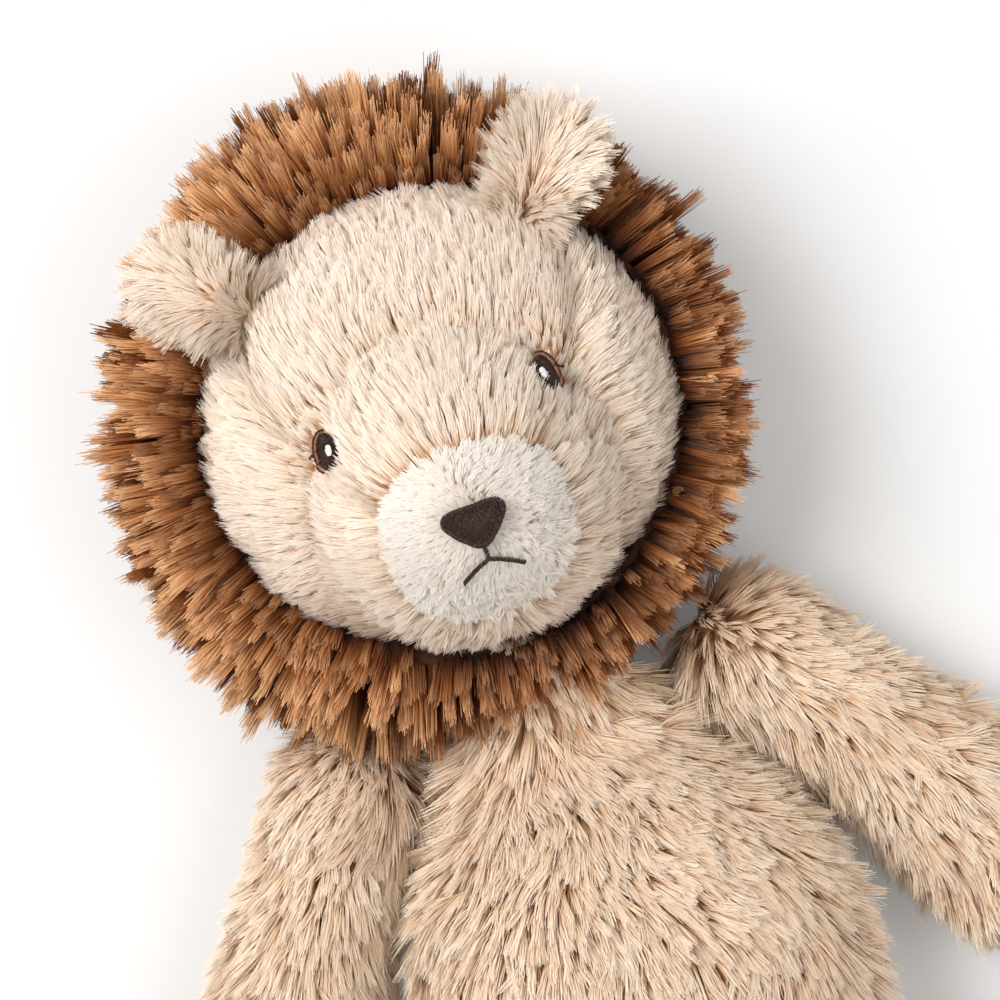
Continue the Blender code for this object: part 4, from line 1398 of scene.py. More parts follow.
def smooth(low: Array, high: Array, leave: Array, arrive: Array, t: Array) -> Array:
    """Read a smooth curve between two values.

    Args:
        low: its value where it starts.
        high: its value where it ends.
        leave: its slope at the start, over the whole span.
        arrive: its slope at the end, over the whole span.
        t: how far along to read it, from 0 to 1.

    Returns:
        The values there.
    """
    return (
        low * (2 * t**3 - 3 * t**2 + 1)
        + high * (3 * t**2 - 2 * t**3)
        + leave * (t**3 - 2 * t**2 + t)
        + arrive * (t**3 - t**2)
    )


def curve_through(known: Array, count: int) -> Array:
    """Read more rows from a few, evenly on a smooth curve through them.

    Args:
        known: rows of values.
        count: how many rows to read.

    Returns:
        The rows.
    """
    places = np.linspace(0, len(known) - 1, count)
    span = np.minimum(places.astype(int), len(known) - 2)
    t = (places - span)[:, None]
    slopes = np.gradient(known, axis=0)
    return smooth(known[span], known[span + 1], slopes[span], slopes[span + 1], t)


@dataclass
class Ear:
    """A floppy ear of two layers, cupped forward, its pile fanned from the root."""

    form: HeadForm
    centre: Array
    side: Side
    half_width: float = 13 * MM
    height: float = 23 * MM
    layer: float = 6 * MM
    cup: float = 7 * MM
    root_radius: float = 70 * MM
    root_height: float = 79 * MM
    tuck: float = 10 * MM
    dive: float = 1.1
    turn: float = math.radians(44.5)
    lean: float = math.radians(12)
    root_share: float = 0.62
    roundness: float = 0.5
    fan: float = 1.9
    swing: float = math.radians(86)
    least_plump: float = 0.12
    rim_gap: float = 0.4 * MM
    cloth: float = 0.8 * MM
    backing_fill: float = 0.3
    face_share: float = 0.45
    fur: Pile = Pile(
        12 * MM, 1.6 * MM, 13, 1.0 * MM, width=0.28 * MM, lift=30, gather=0.4, wander=0.2,
        softness=0.6,
    )
    tuck_rows: int = 5
    rows: int = 22
    columns: int = 24

    def grid(self, low: float, high: float) -> Skin:
        """One face of the ear, from its tucked root to its round tip.

        Args:
            low: how far the rim lies from the ear's middle.
            high: how far the middle of the face lies from it.

        Returns:
            The face's grid.
        """
        side = self.side.value
        turn = math.pi / 2 - side * (math.pi / 2 - self.turn)
        out = np.array([math.cos(turn), math.sin(turn), 0])
        across = np.array([-out[1], out[0], 0])
        along = out * math.cos(self.lean) + np.array([0, 0, math.sin(self.lean)])
        facing = np.cross(along, across)
        facing *= math.copysign(1, facing[2])
        root = self.centre + out * self.root_radius + np.array([0, 0, self.root_height])
        angle = np.linspace(0, self.swing, self.rows)
        tucked = np.linspace(-self.tuck, 0, self.tuck_rows + 1)[:-1]
        reach = np.concatenate((tucked, self.height * np.sin(angle)))
        opening = np.sin(np.minimum(2 * angle, math.pi / 2))
        flare = self.root_share + (1 - self.root_share) * opening
        narrow = np.full(self.tuck_rows, self.root_share)
        half = self.half_width * np.concatenate((narrow, flare * np.cos(angle) ** self.roundness))
        place = np.linspace(-1, 1, self.columns)
        raised = 1 - (np.maximum(0, reach) / self.height) ** 2
        plump = np.sqrt(np.maximum(self.least_plump, raised))
        across_plump = np.sqrt(np.maximum(self.least_plump, 1 - place**2))
        thick = low + (high - low) * plump[:, None] * across_plump
        rise = self.cup * (half[:, None] * place / self.half_width) ** 2 + thick
        points = (
            root
            + along * reach[:, None, None]
            + across * (half[:, None] * place)[..., None]
            + facing * rise[..., None]
            + np.array([0, 0, self.dive]) * np.minimum(0, reach)[:, None, None]
        )
        core = root + along * self.height / 2 - facing * math.copysign(40 * MM, high)
        return Skin(points, core)

    def build(self) -> None:
        """Make both layers' backing and pile."""
        for number, (layer, sign) in enumerate((("front", 1), ("back", -1))):
            node = f"ear_{layer}_{self.side.word}"
            skin = self.grid(sign * self.rim_gap, sign * self.layer * self.face_share)
            back(node, skin, CREAM, "head", self.backing_fill, self.cloth)
            seed = 300 + 20 * number + 40 * (self.side is Side.LEFT)
            rng = np.random.default_rng(seed)
            bed = brushed(skin, self.fur, self.lay, rng, seed + 5)
            bed = bed.kept(bed.rows > 0.5 / self.rows)
            grow(f"{node}_pile", bed, self.fur, CREAM, seed + 9, "head")

    def lay(self, spots: Spots) -> Array:
        """Pile fanned out from the root."""
        fan = (spots.columns - 0.5)[:, None] * 2
        return spots.along + spots.around * fan * self.fan


@dataclass
class Embroidery:
    """The nose, mouth and eyes in stitches of rayon thread over a firm pad.

    Slants are how far stitches lean from square, in degrees: the nose's border, the mouth's
    lines and the eyes' outlines.
    """

    form: HeadForm
    thread: float = 0.42 * MM
    nose_width: float = 18.4 * MM
    nose_length: float = 12.0 * MM
    nose_drop: float = 28.8 * MM
    nose_seat: float = 0.8 * MM
    mouth_drop: float = 45.2 * MM
    mouth_half_width: float = 9.5 * MM
    mouth_fall: float = 4.6 * MM
    mouth_seat: float = 0.6 * MM
    line_width: float = 1.5 * MM
    eye_tilt: float = math.radians(7)
    lash: tuple[tuple[float, float], ...] = ((2.9, 0.9), (3.9, 0.1), (5.2, -0.7))
    glint_place: tuple[float, float] = (-1.9 * MM, -0.3 * MM)
    eye_half_width: float = 2.9 * MM
    eye_half_length: float = 5.9 * MM
    eye_seat: float = 2.0 * MM
    nose_shares: tuple[tuple[float, float], ...] = (
        (0.0, 0.02), (0.6, 0.0), (0.93, 0.05), (1.04, 0.22), (0.88, 0.46), (0.52, 0.76),
        (0.2, 0.97), (0.0, 1.0), (-0.2, 0.97), (-0.52, 0.76), (-0.88, 0.46), (-1.04, 0.22),
        (-0.93, 0.05), (-0.6, 0.0),
    )
    nose_step: float = 0.36 * MM
    nose_stitch: float = 2.9 * MM
    nose_stagger: float = 1.3 * MM
    nose_shortest: float = 0.5 * MM
    border_width: float = 1.7 * MM
    border_lift: float = 0.15 * MM
    slants: tuple[float, float, float] = (25, 30, 20)
    mouth_bow: float = 0.35 * MM
    eye_step: float = 0.34 * MM
    outline_lift: float = 0.1 * MM
    glint_lift: float = 0.35 * MM
    glint_half: tuple[float, float] = (0.95 * MM, 1.7 * MM)
    unevenness: float = 0.05 * MM
    dip: float = 0.5 * MM
    sides: int = 6

    def stitches(
        self,
        name: str,
        ends: Array,
        lift: float,
        finish: RayonThread,
        seed: int,
        nodes: Sequence[str] = (),
    ) -> None:
        """Lay straight stitches over the head, each a thin tube that dips in at its ends.

        Args:
            name: the piece's name.
            ends: two places in the head's own x and y for each stitch.
            lift: how far their middles stand off the pile's mean height.
            finish: the thread.
            seed: which random draws.
            nodes: the CAD nodes that they stand for.
        """
        rng = np.random.default_rng(seed)
        ends = ends + rng.normal(0, self.unevenness, ends.shape)
        t = np.linspace(0, 1, 6)
        flat = ends[:, None, 0] * (1 - t)[None, :, None] + ends[:, None, 1] * t[None, :, None]
        dip = -self.dip * (2 * t - 1) ** 4
        height = lift + dip[None, :] + rng.normal(0, self.unevenness, len(ends))[:, None]
        path, up = self.form.over(flat[..., 0], flat[..., 1], height)
        tangent = unit(np.gradient(path, axis=1))
        beside = unit(np.cross(tangent, up))
        up = np.cross(beside, tangent)
        radius = self.thread / 2 * np.interp(t, (0, 0.2, 0.8, 1), (0.6, 1, 1, 0.6))
        turn = turns(self.sides)[:, None]
        ring = beside[:, :, None] * np.cos(turn) + up[:, :, None] * np.sin(turn)
        points = path[:, :, None] + ring * radius[None, :, None, None]
        base = (np.arange(len(ends)) * len(t) * self.sides)[:, None, None]
        faces = (base + grid_faces(len(t), self.sides, True)).reshape(-1, 4)
        thing = new_mesh(name, points.reshape(-1, 3), faces, STOCK.take(finish))
        hand_over(thing, "head", finish.slot, nodes)

    def pad(self, name: str, outline: Array, lift: float, rise: float, node: str) -> None:
        """Make a firm domed pad under the stitches.

        Args:
            name: the piece's name.
            outline: its edge in the head's own x and y.
            lift: how far its edge stands off the pile's mean height.
            rise: how far its middle stands above its edge.
            node: the CAD node it stands for.
        """
        middle = outline.mean(axis=0)
        share = np.linspace(0.02, 1, 9)[:, None, None]
        flat = middle + (outline - middle)[None] * share
        height = lift + rise * (1 - share[..., 0] ** 2)
        top, _ = self.form.over(flat[..., 0], flat[..., 1], height)
        low, _ = self.form.over(flat[..., 0], flat[..., 1], lift - 3 * MM)
        grid = np.concatenate((top, low[::-1]))
        thing = Skin(grid, top.mean(axis=(0, 1)), True).solid(name, DARK_THREAD)
        hand_over(thing, "head", DARK_THREAD.slot, [node], FIRM)

    def across_line(self, line: Array, width: float, slant: float) -> Array:
        """Ends of satin stitches laid across a line.

        Args:
            line: places in the head's own x and y.
            width: how long each stitch is.
            slant: how far the stitches lean from square, in degrees.

        Returns:
            Two places for each stitch.
        """
        steps = np.linalg.norm(np.diff(line, axis=0), axis=1)
        run = np.concatenate(([0], steps.cumsum()))
        at = np.linspace(0, run[-1], max(2, int(run[-1] / (0.8 * self.thread))))
        places = np.stack([np.interp(at, run, line[:, k]) for k in (0, 1)], axis=1)
        way = unit(np.gradient(places, axis=0))
        angle = math.radians(90 - slant)
        cosine, sine = math.cos(angle), math.sin(angle)
        lean = way @ np.array([[cosine, sine], [-sine, cosine]])
        return np.stack((places - lean * width / 2, places + lean * width / 2), axis=1)

    def build_nose(self) -> None:
        """Make the nose: its pad, rows of filling stitches and a satin border."""
        shares = np.array(self.nose_shares)
        across = shares[:, 0] * self.nose_width / 2
        along = -self.nose_drop - shares[:, 1] * self.nose_length
        outline = rounded(np.stack((across, along), axis=1), 3)
        inside = outline * 0.98 + 0.02 * outline.mean(axis=0)
        self.pad("nose_pad", inside, 0.2 * MM, 0.7 * MM, "nose_embroidery")
        rng = np.random.default_rng(400)
        ends = []
        half, step = self.nose_width / 2, self.nose_step
        for number, x in enumerate(np.arange(-half + step, half, step)):
            span = crossing(outline, x)
            if span is None:
                continue
            low, high = span
            cuts = np.arange(low - self.nose_stagger * (number % 3), high, self.nose_stitch)
            cuts = np.concatenate((cuts[cuts > low + self.nose_shortest], [high]))
            for start, end in zip(np.concatenate(([low], cuts[:-1])), cuts):
                ends.append(((x, start), (x + rng.normal(0, 0.06 * MM), end)))
        seat = self.nose_seat
        self.stitches("nose_filling_stitches", np.array(ends), seat, DARK_THREAD, 401)
        line = np.concatenate((outline, outline[:1]))
        border = self.across_line(line, self.border_width, self.slants[0])
        seat += self.border_lift
        self.stitches("nose_border_stitches", border, seat, DARK_THREAD, 402)

    def build_mouth(self) -> None:
        """Make the line below the nose and the two lines of the mouth."""
        fork = (0.0, -self.mouth_drop)
        ends = []
        lines = [((0.0, -self.nose_drop - self.nose_length + 0.3 * MM), fork)]
        for side in (-1, 1):
            lines.append((fork, (side * self.mouth_half_width, -self.mouth_drop - self.mouth_fall)))
        for number, (start, end) in enumerate(lines):
            t = np.linspace(0, 1, 12)[:, None]
            line = np.array(start) * (1 - t) + np.array(end) * t
            if number:
                line[:, 1] += self.mouth_bow * np.sin(math.pi * t[:, 0])
            ends.append(self.across_line(line, self.line_width, self.slants[1]))
        whole = np.concatenate(ends)
        node = ["mouth_embroidery"]
        self.stitches("mouth_stitches", whole, self.mouth_seat, DARK_THREAD, 410, node)

    def in_eye(self, side: Side, flat: Array) -> Array:
        """Turn places measured from an eye's middle, outward and up, into the head's own x and y.

        Args:
            side: which eye.
            flat: the places.

        Returns:
            The same places on the head.
        """
        cosine, sine = math.cos(self.eye_tilt), math.sin(self.eye_tilt)
        across = flat[..., 0] * cosine - flat[..., 1] * sine
        up = flat[..., 1] * cosine + flat[..., 0] * sine
        return np.stack((side.value * (EYE_X + across), EYE_RISE + up), axis=-1)

    def build_eye(self, side: Side) -> None:
        """Make one eye: its filling, the outline and lash on its outer side, and the white glint.

        Args:
            side: which eye.
        """
        eye = f"eye_{side.word}"
        size = np.array([self.eye_half_width, self.eye_half_length])

        def around(angles: Array, grown: float) -> Array:
            flat = np.stack((np.cos(angles), np.sin(angles)), axis=1) * (size + grown)
            return self.in_eye(side, flat)

        def level_rows(half: Array, y: Array) -> Array:
            ends = (np.stack((-half, y), axis=1), np.stack((half, y), axis=1))
            return np.stack(ends, axis=1)

        self.pad(f"{eye}_pad", around(turns(40), -0.1 * MM), 1.0 * MM, 0.4 * MM, eye)
        y = np.arange(-size[1] + self.eye_step, size[1], self.eye_step)
        half = size[0] * 0.96 * np.sqrt(1 - (y / size[1]) ** 2)
        rows = self.in_eye(side, level_rows(half, y))
        self.stitches(f"{eye}_filling_stitches", rows, self.eye_seat, DARK_THREAD, 420)
        outer = np.radians(np.linspace(-75, 100, 30))
        lash = self.in_eye(side, np.array(self.lash) * MM)
        for name, line, width, finish, seed in (
            ("inner_outline", around(outer, 0.15 * MM), 0.8 * MM, TAN_THREAD, 421),
            ("outer_outline", around(outer, 0.75 * MM), 0.7 * MM, DARK_THREAD, 421),
            ("lash_stitches", lash, 0.8 * MM, DARK_THREAD, 422),
        ):
            ends = self.across_line(line, width, self.slants[2])
            self.stitches(f"{eye}_{name}", ends, self.eye_seat + self.outline_lift, finish, seed)
        y = np.arange(-1.5 * MM, 1.6 * MM, 0.32 * MM)
        half_width, half_length = self.glint_half
        half = half_width * np.sqrt(np.maximum(0.05, 1 - (y / half_length) ** 2))
        spot = self.in_eye(side, level_rows(half, y) + np.array(self.glint_place))
        node = [f"eye_glint_{side.word}"]
        seat = self.eye_seat + self.glint_lift
        self.stitches(f"{eye}_glint", spot, seat, WHITE_THREAD, 423, node)

    def build(self) -> None:
        """Make all of it."""
        self.build_nose()
        self.build_mouth()
        for side in Side:
            self.build_eye(side)


def rounded(corners: Array, times: int) -> Array:
    """Round a closed outline by cutting its corners.

    Args:
        corners: places round it.
        times: how often to cut.

    Returns:
        The rounded outline.
    """
    for _ in range(times):
        after = np.roll(corners, -1, axis=0)
        pairs = (corners * 0.75 + after * 0.25, corners * 0.25 + after * 0.75)
        corners = np.stack(pairs, axis=1).reshape(-1, 2)
    return corners


def crossing(outline: Array, x: float) -> tuple[float, float] | None:
    """Where an upright line crosses a closed outline.

    Args:
        outline: places round it.
        x: where the line stands.

    Returns:
        The lowest and highest crossing, or nothing where it misses.
    """
    after = np.roll(outline, -1, axis=0)
    hit = (outline[:, 0] - x) * (after[:, 0] - x) < 0
    if hit.sum() < 2:
        return None
    share = (x - outline[hit, 0]) / (after[hit, 0] - outline[hit, 0])
    heights = outline[hit, 1] + share * (after[hit, 1] - outline[hit, 1])
    return float(heights.min()), float(heights.max())


def ball_rows(radius: float, count: int) -> Array:
    """The round root of a stuffed form, up to its widest ring.

    Args:
        radius: the ball's.
        count: how many rings reach the widest, with it.

    Returns:
        Each ring's place along the form, half width and half height.
    """
    angle = np.linspace(POLE, math.pi / 2, count)[:-1]
    size = radius * np.sin(angle)
    return np.stack((-radius * np.cos(angle), size, size), axis=1)


def upright_rings(centre: Array, across: Array, half: Array, turn: Array) -> Array:
    """Upright oval rings of points.

    Args:
        centre: the middle of each ring.
        across: the level direction across each.
        half: the half width and half height of each.
        turn: the angles of the points on a ring.

    Returns:
        The points, one ring to a row.
    """
    wide = across[:, None] * (half[:, :1] * np.cos(turn))[..., None]
    tall = np.array([0, 0, 1]) * (half[:, 1:2] * np.sin(turn))[..., None]
    return centre[:, None] + wide + tall


@dataclass(frozen=True)
class LimbForm:
    """A stuffed limb at the mean height of its pile: a ball at the root, stations, a round end.

    Stations give the distance as a share of the length, then half width, half height and the
    height of the middle as shares of the root's radius.
    """

    root: Array
    side: int
    radius: float
    length: float
    headings: tuple[float, float]
    stations: tuple[tuple[float, float, float, float], ...]
    sides: int = 56

    def spine(self, distance: Array) -> tuple[Array, Array]:
        """Places along the limb and the direction across it.

        Args:
            distance: how far from the root, behind it where negative.

        Returns:
            Places and directions, on the toy's left.
        """
        rate = (self.headings[1] - self.headings[0]) / self.length
        start = self.headings[0]
        bearing = start + rate * np.maximum(0, distance)
        if rate:
            x = (math.cos(start) - np.cos(bearing)) / rate
            y = (np.sin(bearing) - math.sin(start)) / rate
            x = np.where(distance < 0, math.sin(start) * distance, x)
            y = np.where(distance < 0, math.cos(start) * distance, y)
        else:
            x, y = math.sin(start) * distance, math.cos(start) * distance
        place = np.stack((x, -y, np.zeros_like(x)), axis=-1)
        across = np.stack((np.cos(bearing), np.sin(bearing), np.zeros_like(x)), axis=-1)
        return place, across

    def rows(self) -> tuple[Array, int]:
        """Every ring's distance, half width, half height and middle height.

        Returns:
            The rings, and the number of the first one of the round end.
        """
        ball = ball_rows(self.radius, 14)
        head = np.column_stack((ball, np.full(len(ball), self.radius)))
        scaled = np.array(self.stations) * (self.length, self.radius, self.radius, self.radius)
        body = along_stations(scaled, 40)
        last = body[-1]
        bend = np.linspace(0, math.pi / 2 - POLE, 14)[1:]
        place = last[0] + (self.length - last[0]) * np.sin(bend)
        narrow = np.cos(bend)
        end = (place, last[1] * narrow, last[2] * narrow, np.full_like(bend, last[3]))
        rows = np.concatenate((head, body, np.stack(end, axis=1)))
        return rows, len(head) + len(body) - 1

    def skin(self) -> tuple[Skin, int]:
        """The whole limb as one grid that wraps.

        Returns:
            The grid, and the number of the first row of the round end.
        """
        rows, first = self.rows()
        centre, across = self.spine(rows[:, 0])
        centre[:, 2] = rows[:, 3]
        points = upright_rings(centre, across, rows[:, 1:3], turns(self.sides))
        middle = centre[:, None].copy()
        if self.side < 0:
            points = points * (-1, 1, 1)
            middle = middle * (-1, 1, 1)
            order = (self.sides // 2 - np.arange(self.sides)) % self.sides
            points = points[:, order]
        shift = np.array([*self.root[:2], 0.0])
        return Skin(points + shift, middle + shift, True), first


def along_stations(known: Array, count: int) -> Array:
    """Read more stations from a few, on a smooth curve over their first value.

    Args:
        known: rows whose first value is the place along the form.
        count: how many rows to read.

    Returns:
        The rows, evenly along the form.
    """
    places = np.linspace(known[0, 0], known[-1, 0], count)
    slopes = np.gradient(known[:, 1:], known[:, 0], axis=0)
    slopes[0] = 0
    span = np.searchsorted(known[:, 0], places, side="right") - 1
    span = np.clip(span, 0, len(known) - 2)
    width = (known[span + 1, 0] - known[span, 0])[:, None]
    t = (places - known[span, 0])[:, None] / width
    low, high = known[span, 1:], known[span + 1, 1:]
    curve = smooth(low, high, slopes[span] * width, slopes[span + 1] * width, t)
    return np.column_stack((places, curve))


@dataclass
class StuffedForm:
    """A stuffed form's backing, filling and pile, cut into an upper and a lower panel."""

    body: str
    skin: Skin
    seed: int

    def panel(
        self,
        node: str,
        columns: slice,
        pile: Pile,
        coat: "Limb | Torso",
        number: int,
        rows: slice = slice(0, None),
    ) -> None:
        """Make one panel's backing and pile.

        Args:
            node: the CAD node it stands for.
            columns: which columns of the form it takes.
            pile: how its pile grows.
            coat: what says how it is brushed, and how much longer it is in places.
            number: which of the form's panels this is.
            rows: which rows of the form it takes.
        """
        part = self.skin.inset(BACKING_DEPTH).part(rows, columns)
        back(node, part, BEIGE, self.body)
        seed = self.seed + 20 * number
        rng = np.random.default_rng(seed)
        bed = brushed(part, pile, coat.lay, rng, seed + 3)
        bed.scale = bed.scale * coat.stretch(bed.points)
        grow(f"{node}_pile", bed, pile, BEIGE, seed + 9, self.body)

    def fill(
        self, node: str, rows: slice, finish: Finish = FILLING, slot: str = "filling"
    ) -> None:
        """Make the filling inside the backing.

        Args:
            node: the CAD node it stands for.
            rows: which rows of the form it fills.
            finish: its material.
            slot: the record's material slot.
        """
        inner = self.skin.inset(BACKING_DEPTH + 2.0 * MM)
        core = Skin(inner.points[rows], inner.core[rows], True)
        hand_over(core.solid(f"{node}_core", finish), self.body, slot, [node], STUFFING)


BODY_FUR = Pile(
    13.5 * MM, 2.3 * MM, 14, 1.3 * MM, lift=38, lift_spread=13, gather=0.4, wander=0.3,
    clump=14 * MM, softness=0.5,
)
BACK_FUR = replace(
    BODY_FUR, length=12 * MM, spacing=3.2 * MM, tuft=1.9 * MM, fibres=12, width=0.44 * MM, lift=20
)
LEG_FUR = replace(BODY_FUR, spacing=2.7 * MM, tuft=1.5 * MM, fibres=13, width=0.4 * MM)


@dataclass
class Limb:
    """An arm or a leg: two panels with pile parted along the middle, the filling, and a sole."""

    side: Side
    kind: str
    form: LimbForm
    fur: Pile
    has_sole: bool = False
    seed: int = 600
    sweep: float = 0.75
    inner_length: float = 0.85
    outer_length: float = 0.65
    inner_reach: float = 100 * MM
    outer_start: float = 60 * MM

    def lay(self, spots: Spots) -> Array:
        """Pile brushed toward the hand or foot and away from the middle of the panel."""
        return spots.along + spots.around * (2 * spots.columns - 1)[:, None] * self.sweep

    def stretch(self, points: Array) -> Array:
        """Pile left longer on the outer side, and on the inner where it meets the torso."""
        away = points - self.form.root
        axis, _ = self.form.spine(np.maximum(0, -away[:, 1]))
        inward = (axis[:, 0] - self.side.value * away[:, 0]) / self.form.radius
        inner = np.clip(inward, 0, 1) * np.exp(-((away[:, 1] / self.inner_reach) ** 2))
        outer = np.clip(-inward, 0, 1) * np.clip(-away[:, 1] / self.outer_start, 0, 1)
        return 1 + self.inner_length * inner + self.outer_length * outer

    def build(self) -> None:
        """Make the limb's pieces."""
        word = self.side.word
        kind = self.kind
        body = f"{kind}_{word}"
        whole, first = self.form.skin()
        made = StuffedForm(body, whole, self.seed)
        half = self.form.sides // 2
        rows = slice(0, first + 1) if self.has_sole else slice(0, None)
        front, behind = slice(0, half + 1), slice(half, self.form.sides + 1)
        made.panel(f"{kind}_front_{word}", front, self.fur, self, 0, rows)
        made.panel(f"{kind}_back_{word}", behind, BACK_FUR, self, 1, rows)
        made.fill(f"{kind}_filling_{word}", rows)
        if self.has_sole:
            backing = whole.inset(BACKING_DEPTH)
            sole = Skin(backing.points[first:], backing.core[first:], True)
            fur = replace(self.fur, length=10 * MM, lift=40)
            node = f"foot_sole_{word}"
            back(node, sole, BEIGE, body)

            def upward(spots: Spots) -> Array:
                return np.tile((0.0, 0.0, 1.0), (len(spots.points), 1))

            rng = np.random.default_rng(self.seed + 60)
            bed = brushed(sole, fur, upward, rng, self.seed + 63)
            grow(f"{node}_pile", bed, fur, BEIGE, self.seed + 69, body)


@dataclass
class Torso:
    """The torso: chest and back panels, the filling and the pouch of pellets.

    Stations give the distance from the neck, the half width and the half height as shares.
    Sweep is how far the pile is brushed outward, and how much further over the shoulders.
    """

    neck: Array
    length: float = 168 * MM
    half_width: float = 73 * MM
    half_height: float = 43 * MM
    neck_radius: float = 32 * MM
    neck_height: float = 34 * MM
    fur: Pile = BODY_FUR
    stations: tuple[tuple[float, float, float], ...] = (
        (0.0, 0.438, 0.744), (0.06, 0.465, 0.70), (0.115, 0.53, 0.59), (0.18, 0.62, 0.685),
        (0.25, 0.74, 0.79), (0.335, 0.86, 0.89), (0.44, 0.95, 0.96), (0.60, 1.0, 1.0),
        (0.75, 0.985, 1.0), (0.86, 0.90, 0.93), (0.935, 0.74, 0.77), (0.98, 0.49, 0.51),
        (0.998, 0.12, 0.12),
    )
    rise: tuple[float, float] = (0.115, 0.44)
    sides: int = 72
    shoulder_drop: float = 14 * MM
    shoulder_reach: float = 24 * MM
    neck_trim: tuple[float, float] = (0.2, 14 * MM)
    sweep: tuple[float, float] = (0.55, 1.1)
    shoulder_length: float = 0.5
    side_length: float = 1.1
    pouch_row: int = 54

    def skin(self) -> Skin:
        """The whole torso as one grid that wraps."""
        head = ball_rows(self.neck_radius, 12)
        known = np.array(self.stations) * (self.length, self.half_width, self.half_height)
        rows = np.concatenate((head, along_stations(known, 56)))
        first, last = self.rise
        share = np.clip((rows[:, 0] / self.length - first) / (last - first), 0, 1)
        height = self.neck_height + (self.half_height - self.neck_height) * share
        centre = np.stack((0 * height, self.neck[1] - rows[:, 0], height), axis=1)
        across = np.array([[1.0, 0.0, 0.0]])
        points = upright_rings(centre, across, rows[:, 1:3], turns(self.sides))
        return Skin(points, centre[:, None], True)

    def nearness(self, points: Array) -> Array:
        """How near places are to the shoulders, from 0 to 1."""
        below = self.neck[1] - points[:, 1] - self.shoulder_drop
        return np.exp(-((below / self.shoulder_reach) ** 2))

    def lay(self, spots: Spots) -> Array:
        """Pile brushed down the body and a little outward, and well outward over the shoulders."""
        sweep = self.sweep[0] + self.sweep[1] * self.nearness(spots.points)
        return spots.along + spots.around * ((2 * spots.columns - 1) * sweep)[:, None]

    def stretch(self, points: Array) -> Array:
        """Pile left longer over the shoulders and sides, and clipped short at the neck's seam."""
        below = self.neck[1] - points[:, 1]
        side = np.clip(np.abs(points[:, 0]) / self.half_width - 0.5, 0, 0.5)
        least, reach = self.neck_trim
        clipped = np.clip(least + below / reach, least, 1)
        longer = self.shoulder_length * self.nearness(points)
        return (1 + longer + self.side_length * side) * clipped

    def build(self) -> None:
        """Make the torso's pieces."""
        made = StuffedForm("torso", self.skin(), 800)
        half = self.sides // 2
        made.panel("chest_panel", slice(0, half + 1), self.fur, self, 0)
        made.panel("back_panel", slice(half, self.sides + 1), BACK_FUR, self, 1)
        made.fill("torso_filling", slice(0, self.pouch_row))
        made.fill("pellet_pouch", slice(self.pouch_row, None), CALICO, "pouch")


@dataclass
class Tail:
    """The tail: a stuffed tube with short pile, and the long brown tuft round its end."""

    root: Array
    radius: float = 8 * MM
    length: float = 96 * MM
    bend: float = math.radians(9)
    tuft_length: float = 54 * MM
    fur: Pile = Pile(8 * MM, 2.2 * MM, 12, 1.3 * MM, width=0.36 * MM, lift=30)
    tuft_fur: Pile = Pile(
        22 * MM, 2.2 * MM, 16, 1.4 * MM, width=0.4 * MM, lift=26, bend=0.2, tip=0.6
    )
    stations: tuple[tuple[float, float, float, float], ...] = (
        (0.0, 1.0, 1.0, 1.0), (0.5, 0.97, 0.97, 0.97), (0.96, 0.9, 0.9, 0.9),
    )
    backing_depth: float = 3.2 * MM
    tuft_share: float = 0.55
    tuft_height: float = 9 * MM
    sides: int = 24

    def build(self) -> None:
        """Make the tail's pieces."""
        headings = (-self.bend, self.bend)
        form = LimbForm(
            self.root, 1, self.radius, self.length, headings, self.stations, self.sides
        )
        whole, _ = form.skin()
        tube = whole.inset(self.backing_depth)
        self.grow_over("tail_tube", tube, BEIGE, self.fur, 900)
        along = np.linspace(0, 1, 20)
        reach = self.length * self.stations[-1][0] + self.tuft_length * self.tuft_share * along
        place, across = form.spine(reach)
        size = np.interp(along, (0, 0.3, 0.7, 1), (5.0, 6.0, 5.0, 1.0)) * MM
        place = place + np.array([*self.root[:2], 0.0])
        place[:, 2] = self.tuft_height
        half = np.stack((size, size), axis=1)
        core = Skin(
            upright_rings(place, across, half, turns(self.sides)), place[:, None], True
        )
        self.grow_over("tail_tuft", core, BROWN, self.tuft_fur, 920)

    def grow_over(self, node: str, skin: Skin, plush: Plush, pile: Pile, seed: int) -> None:
        """Make a closed backing and its pile, brushed along the tail.

        Args:
            node: the CAD node it stands for.
            skin: the backing's grid.
            plush: what it is cut from.
            pile: how its pile grows.
            seed: which random draws.
        """
        backing = skin.solid(f"{node}_backing", plush.backing)
        hand_over(backing, "tail", plush.slot, [node], STUFFING)
        rng = np.random.default_rng(seed)
        bed = brushed(skin, pile, lambda spots: spots.along, rng, seed + 3)
        grow(f"{node}_pile", bed, pile, plush, seed + 9, "tail")


@dataclass
class Head:
    """The head's filling under the face, the ears, the mane and the embroidery."""

    centre: Array
    skull_drop: float = 6 * MM
    skull_height: float = 46 * MM
    filling_depth: float = 12 * MM

    def build(self) -> None:
        """Make the head's pieces."""
        form = HeadForm(self.centre + np.array([0, -self.skull_drop, self.skull_height]))
        angle = np.linspace(POLE / 2, math.pi - POLE / 2, 40)[:, None]
        turn = turns(64)[None, :] * np.ones_like(angle)
        core = Skin(form.points(polar(angle, turn), self.filling_depth), form.centre, True)
        filling = core.solid("head_filling_core", FILLING)
        hand_over(filling, "head", "filling", ["head_filling"], STUFFING)
        face = Face(form)
        face.build()
        face.build_patch()
        Embroidery(form).build()
        for side in Side:
            Ear(form, self.centre, side).build()
        Mane(form, self.centre).build()


